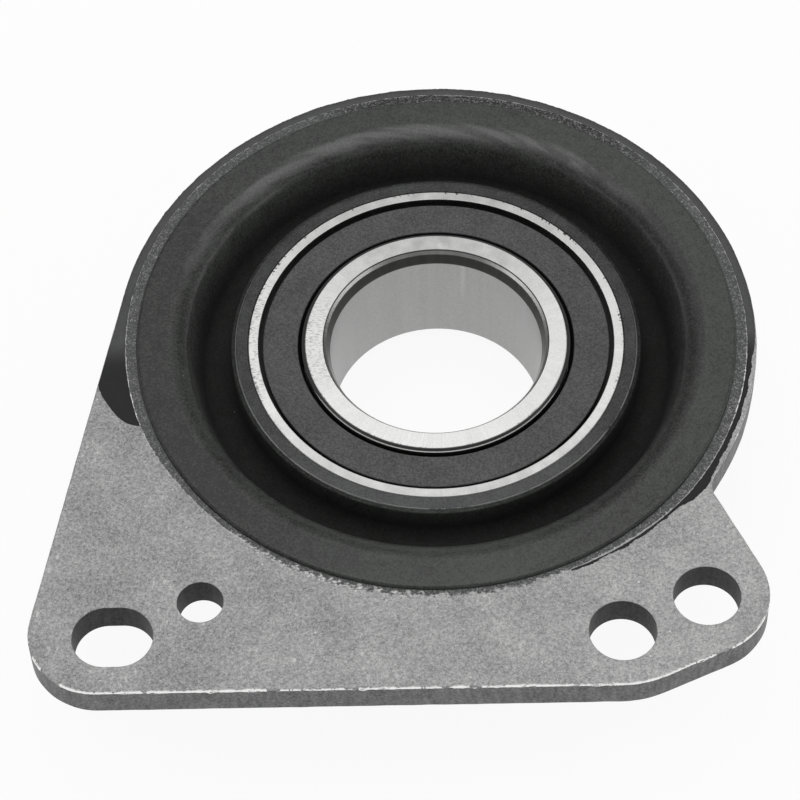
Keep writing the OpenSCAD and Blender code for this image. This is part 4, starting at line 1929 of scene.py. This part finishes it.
@dataclass
class Studio:
    """Pale floor, soft light from above and the sides, and a camera at the photograph's angle."""

    floor_z: float = SLEEVE_REAR
    floor_size_m: float = 12.0
    floor_albedo: float = 0.86
    floor_glow: float = 0.92
    wall_level: float = 0.36
    sweep: Pair = (0.18, 0.05)
    panel_level: float = 1.5
    panel_lean: float = 9.0
    panel_spread: Pair = (44.0, 26.0)
    side_level: float = 1.6
    side_turn: float = 17.0
    side_rise: float = 8.0
    side_spread: Pair = (24.0, 12.0)
    softbox_size_m: float = 0.55
    softbox_at_m: Triple = (-0.10, 0.16, 0.72)
    softbox_watts: float = 0.6
    lens: float = 144.0
    sensor: float = 36.0
    elevation: float = 55.28
    azimuth: float = 1.23
    roll: float = -2.08
    eye: Triple = (0.302, -263.994, 369.619)
    clip_m: float = 0.01

    def build_floor(self) -> None:
        """A plain floor that shows white to the eye and in reflections, and keeps a soft shadow."""
        half = self.floor_size_m / 2
        data = bpy.data.meshes.new("floor")
        corners = [(-half, -half), (half, -half), (half, half), (-half, half)]
        data.from_pydata([(x, y, self.floor_z * MM) for x, y in corners], [], [(0, 1, 2, 3)])
        floor = bpy.data.objects.new("floor", data)
        bpy.context.scene.collection.objects.link(floor)
        material = bpy.data.materials.new("pale_floor")
        material.use_nodes = True
        graph = Graph(material.node_tree)
        camera = graph.add("ShaderNodeLightPath", output="Is Camera Ray")
        seen = camera + camera.out("Is Glossy Ray") + camera.out("Is Transmission Ray")
        seen = seen.math("MINIMUM", seen, 1.0) * self.floor_glow
        matt = graph.add("ShaderNodeBsdfDiffuse", None, {"Color": grey(self.floor_albedo)})
        white = graph.add("ShaderNodeEmission", None, {"Color": grey(1.0), "Strength": 1.0})
        mixed = graph.add("ShaderNodeMixShader", None, {0: seen, 1: matt, 2: white})
        graph.add("ShaderNodeOutputMaterial", None, {"Surface": mixed})
        data.materials.append(material)

    @staticmethod
    def lamp(graph: Graph, coords: Signal, axis: Sequence[float], spread: Pair) -> Signal:
        """A soft round panel of the world.

        Args:
            graph: The world's tree.
            coords: Direction of each ray.
            axis: Direction of the panel's middle.
            spread: Angles from the middle where the panel ends and where it is full.

        Returns:
            The share of the panel's light.
        """
        sockets = {0: coords, 1: tuple(axis)}
        facing = graph.add("ShaderNodeVectorMath", {"operation": "DOT_PRODUCT"}, sockets, "Value")
        return facing.fade(*(math.cos(math.radians(angle)) for angle in spread))

    def build_light(self) -> None:
        """A world with panels above and at the sides, and one large softbox above and behind."""
        world = bpy.data.worlds.new("studio_world")
        bpy.context.scene.world = world
        world.use_nodes = True
        graph = Graph(world.node_tree)
        coords = graph.add("ShaderNodeTexCoord", output="Generated")
        up = graph.add("ShaderNodeSeparateXYZ", None, {0: coords}, "Z")
        lean = math.radians(self.panel_lean)
        above = (0.0, math.sin(lean), math.cos(lean))
        overhead = self.lamp(graph, coords, above, self.panel_spread)
        folded = graph.add("ShaderNodeVectorMath", {"operation": "ABSOLUTE"}, {0: coords})
        turn, rise = math.radians(self.side_turn), math.radians(self.side_rise)
        level = math.cos(rise)
        low = (math.cos(turn) * level, math.sin(turn) * level, math.sin(rise))
        aside = self.lamp(graph, folded, low, self.side_spread)
        walls = graph.blend(up.fade(*self.sweep), grey(self.wall_level), grey(1.0))
        sky = graph.blend(overhead, walls, grey(self.panel_level))
        sky = graph.blend(aside, sky, grey(self.side_level))
        sky = graph.add("ShaderNodeBackground", None, {"Color": sky, "Strength": 1.0})
        graph.add("ShaderNodeOutputWorld", None, {"Surface": sky})
        lamp = bpy.data.lights.new("softbox", "AREA")
        lamp.shape = "SQUARE"
        lamp.size = self.softbox_size_m
        lamp.energy = self.softbox_watts
        softbox = bpy.data.objects.new("softbox", lamp)
        bpy.context.scene.collection.objects.link(softbox)
        softbox.location = self.softbox_at_m
        aim = Vector((0.0, 0.0, 0.0)) - softbox.location
        softbox.rotation_euler = aim.to_track_quat("-Z", "Y").to_euler()

    def build_camera(self) -> None:
        """The camera, from its elevation, azimuth and roll."""
        data = bpy.data.cameras.new("camera")
        data.sensor_width = self.sensor
        data.lens = self.lens
        data.clip_start = self.clip_m
        camera = bpy.data.objects.new("camera", data)
        bpy.context.scene.collection.objects.link(camera)
        tilt = Matrix.Rotation(math.radians(90.0 - self.elevation), 4, "X")
        turn = Matrix.Rotation(math.radians(self.azimuth), 4, "Z")
        roll = Matrix.Rotation(math.radians(self.roll), 4, "Z")
        place = Matrix.Translation(Vector(self.eye) * MM)
        camera.matrix_world = place @ turn @ tilt @ roll
        bpy.context.scene.camera = camera

    def build(self) -> None:
        """Builds floor, light and camera."""
        self.build_floor()
        self.build_light()
        self.build_camera()
        bpy.context.scene.view_settings.view_transform = "Standard"


def main() -> None:
    """Builds the studio and every sub-assembly, in order."""
    logging.basicConfig(level=logging.INFO, format="%(message)s")
    for assembly in (Studio(), MountingPlate(), Isolator(), Sleeve(), BearingRaces(), Seals(),
                     BallSet()):
        assembly.build()
        LOG.info("%s done", type(assembly).__name__)


if __name__ == "__main__":
    main()
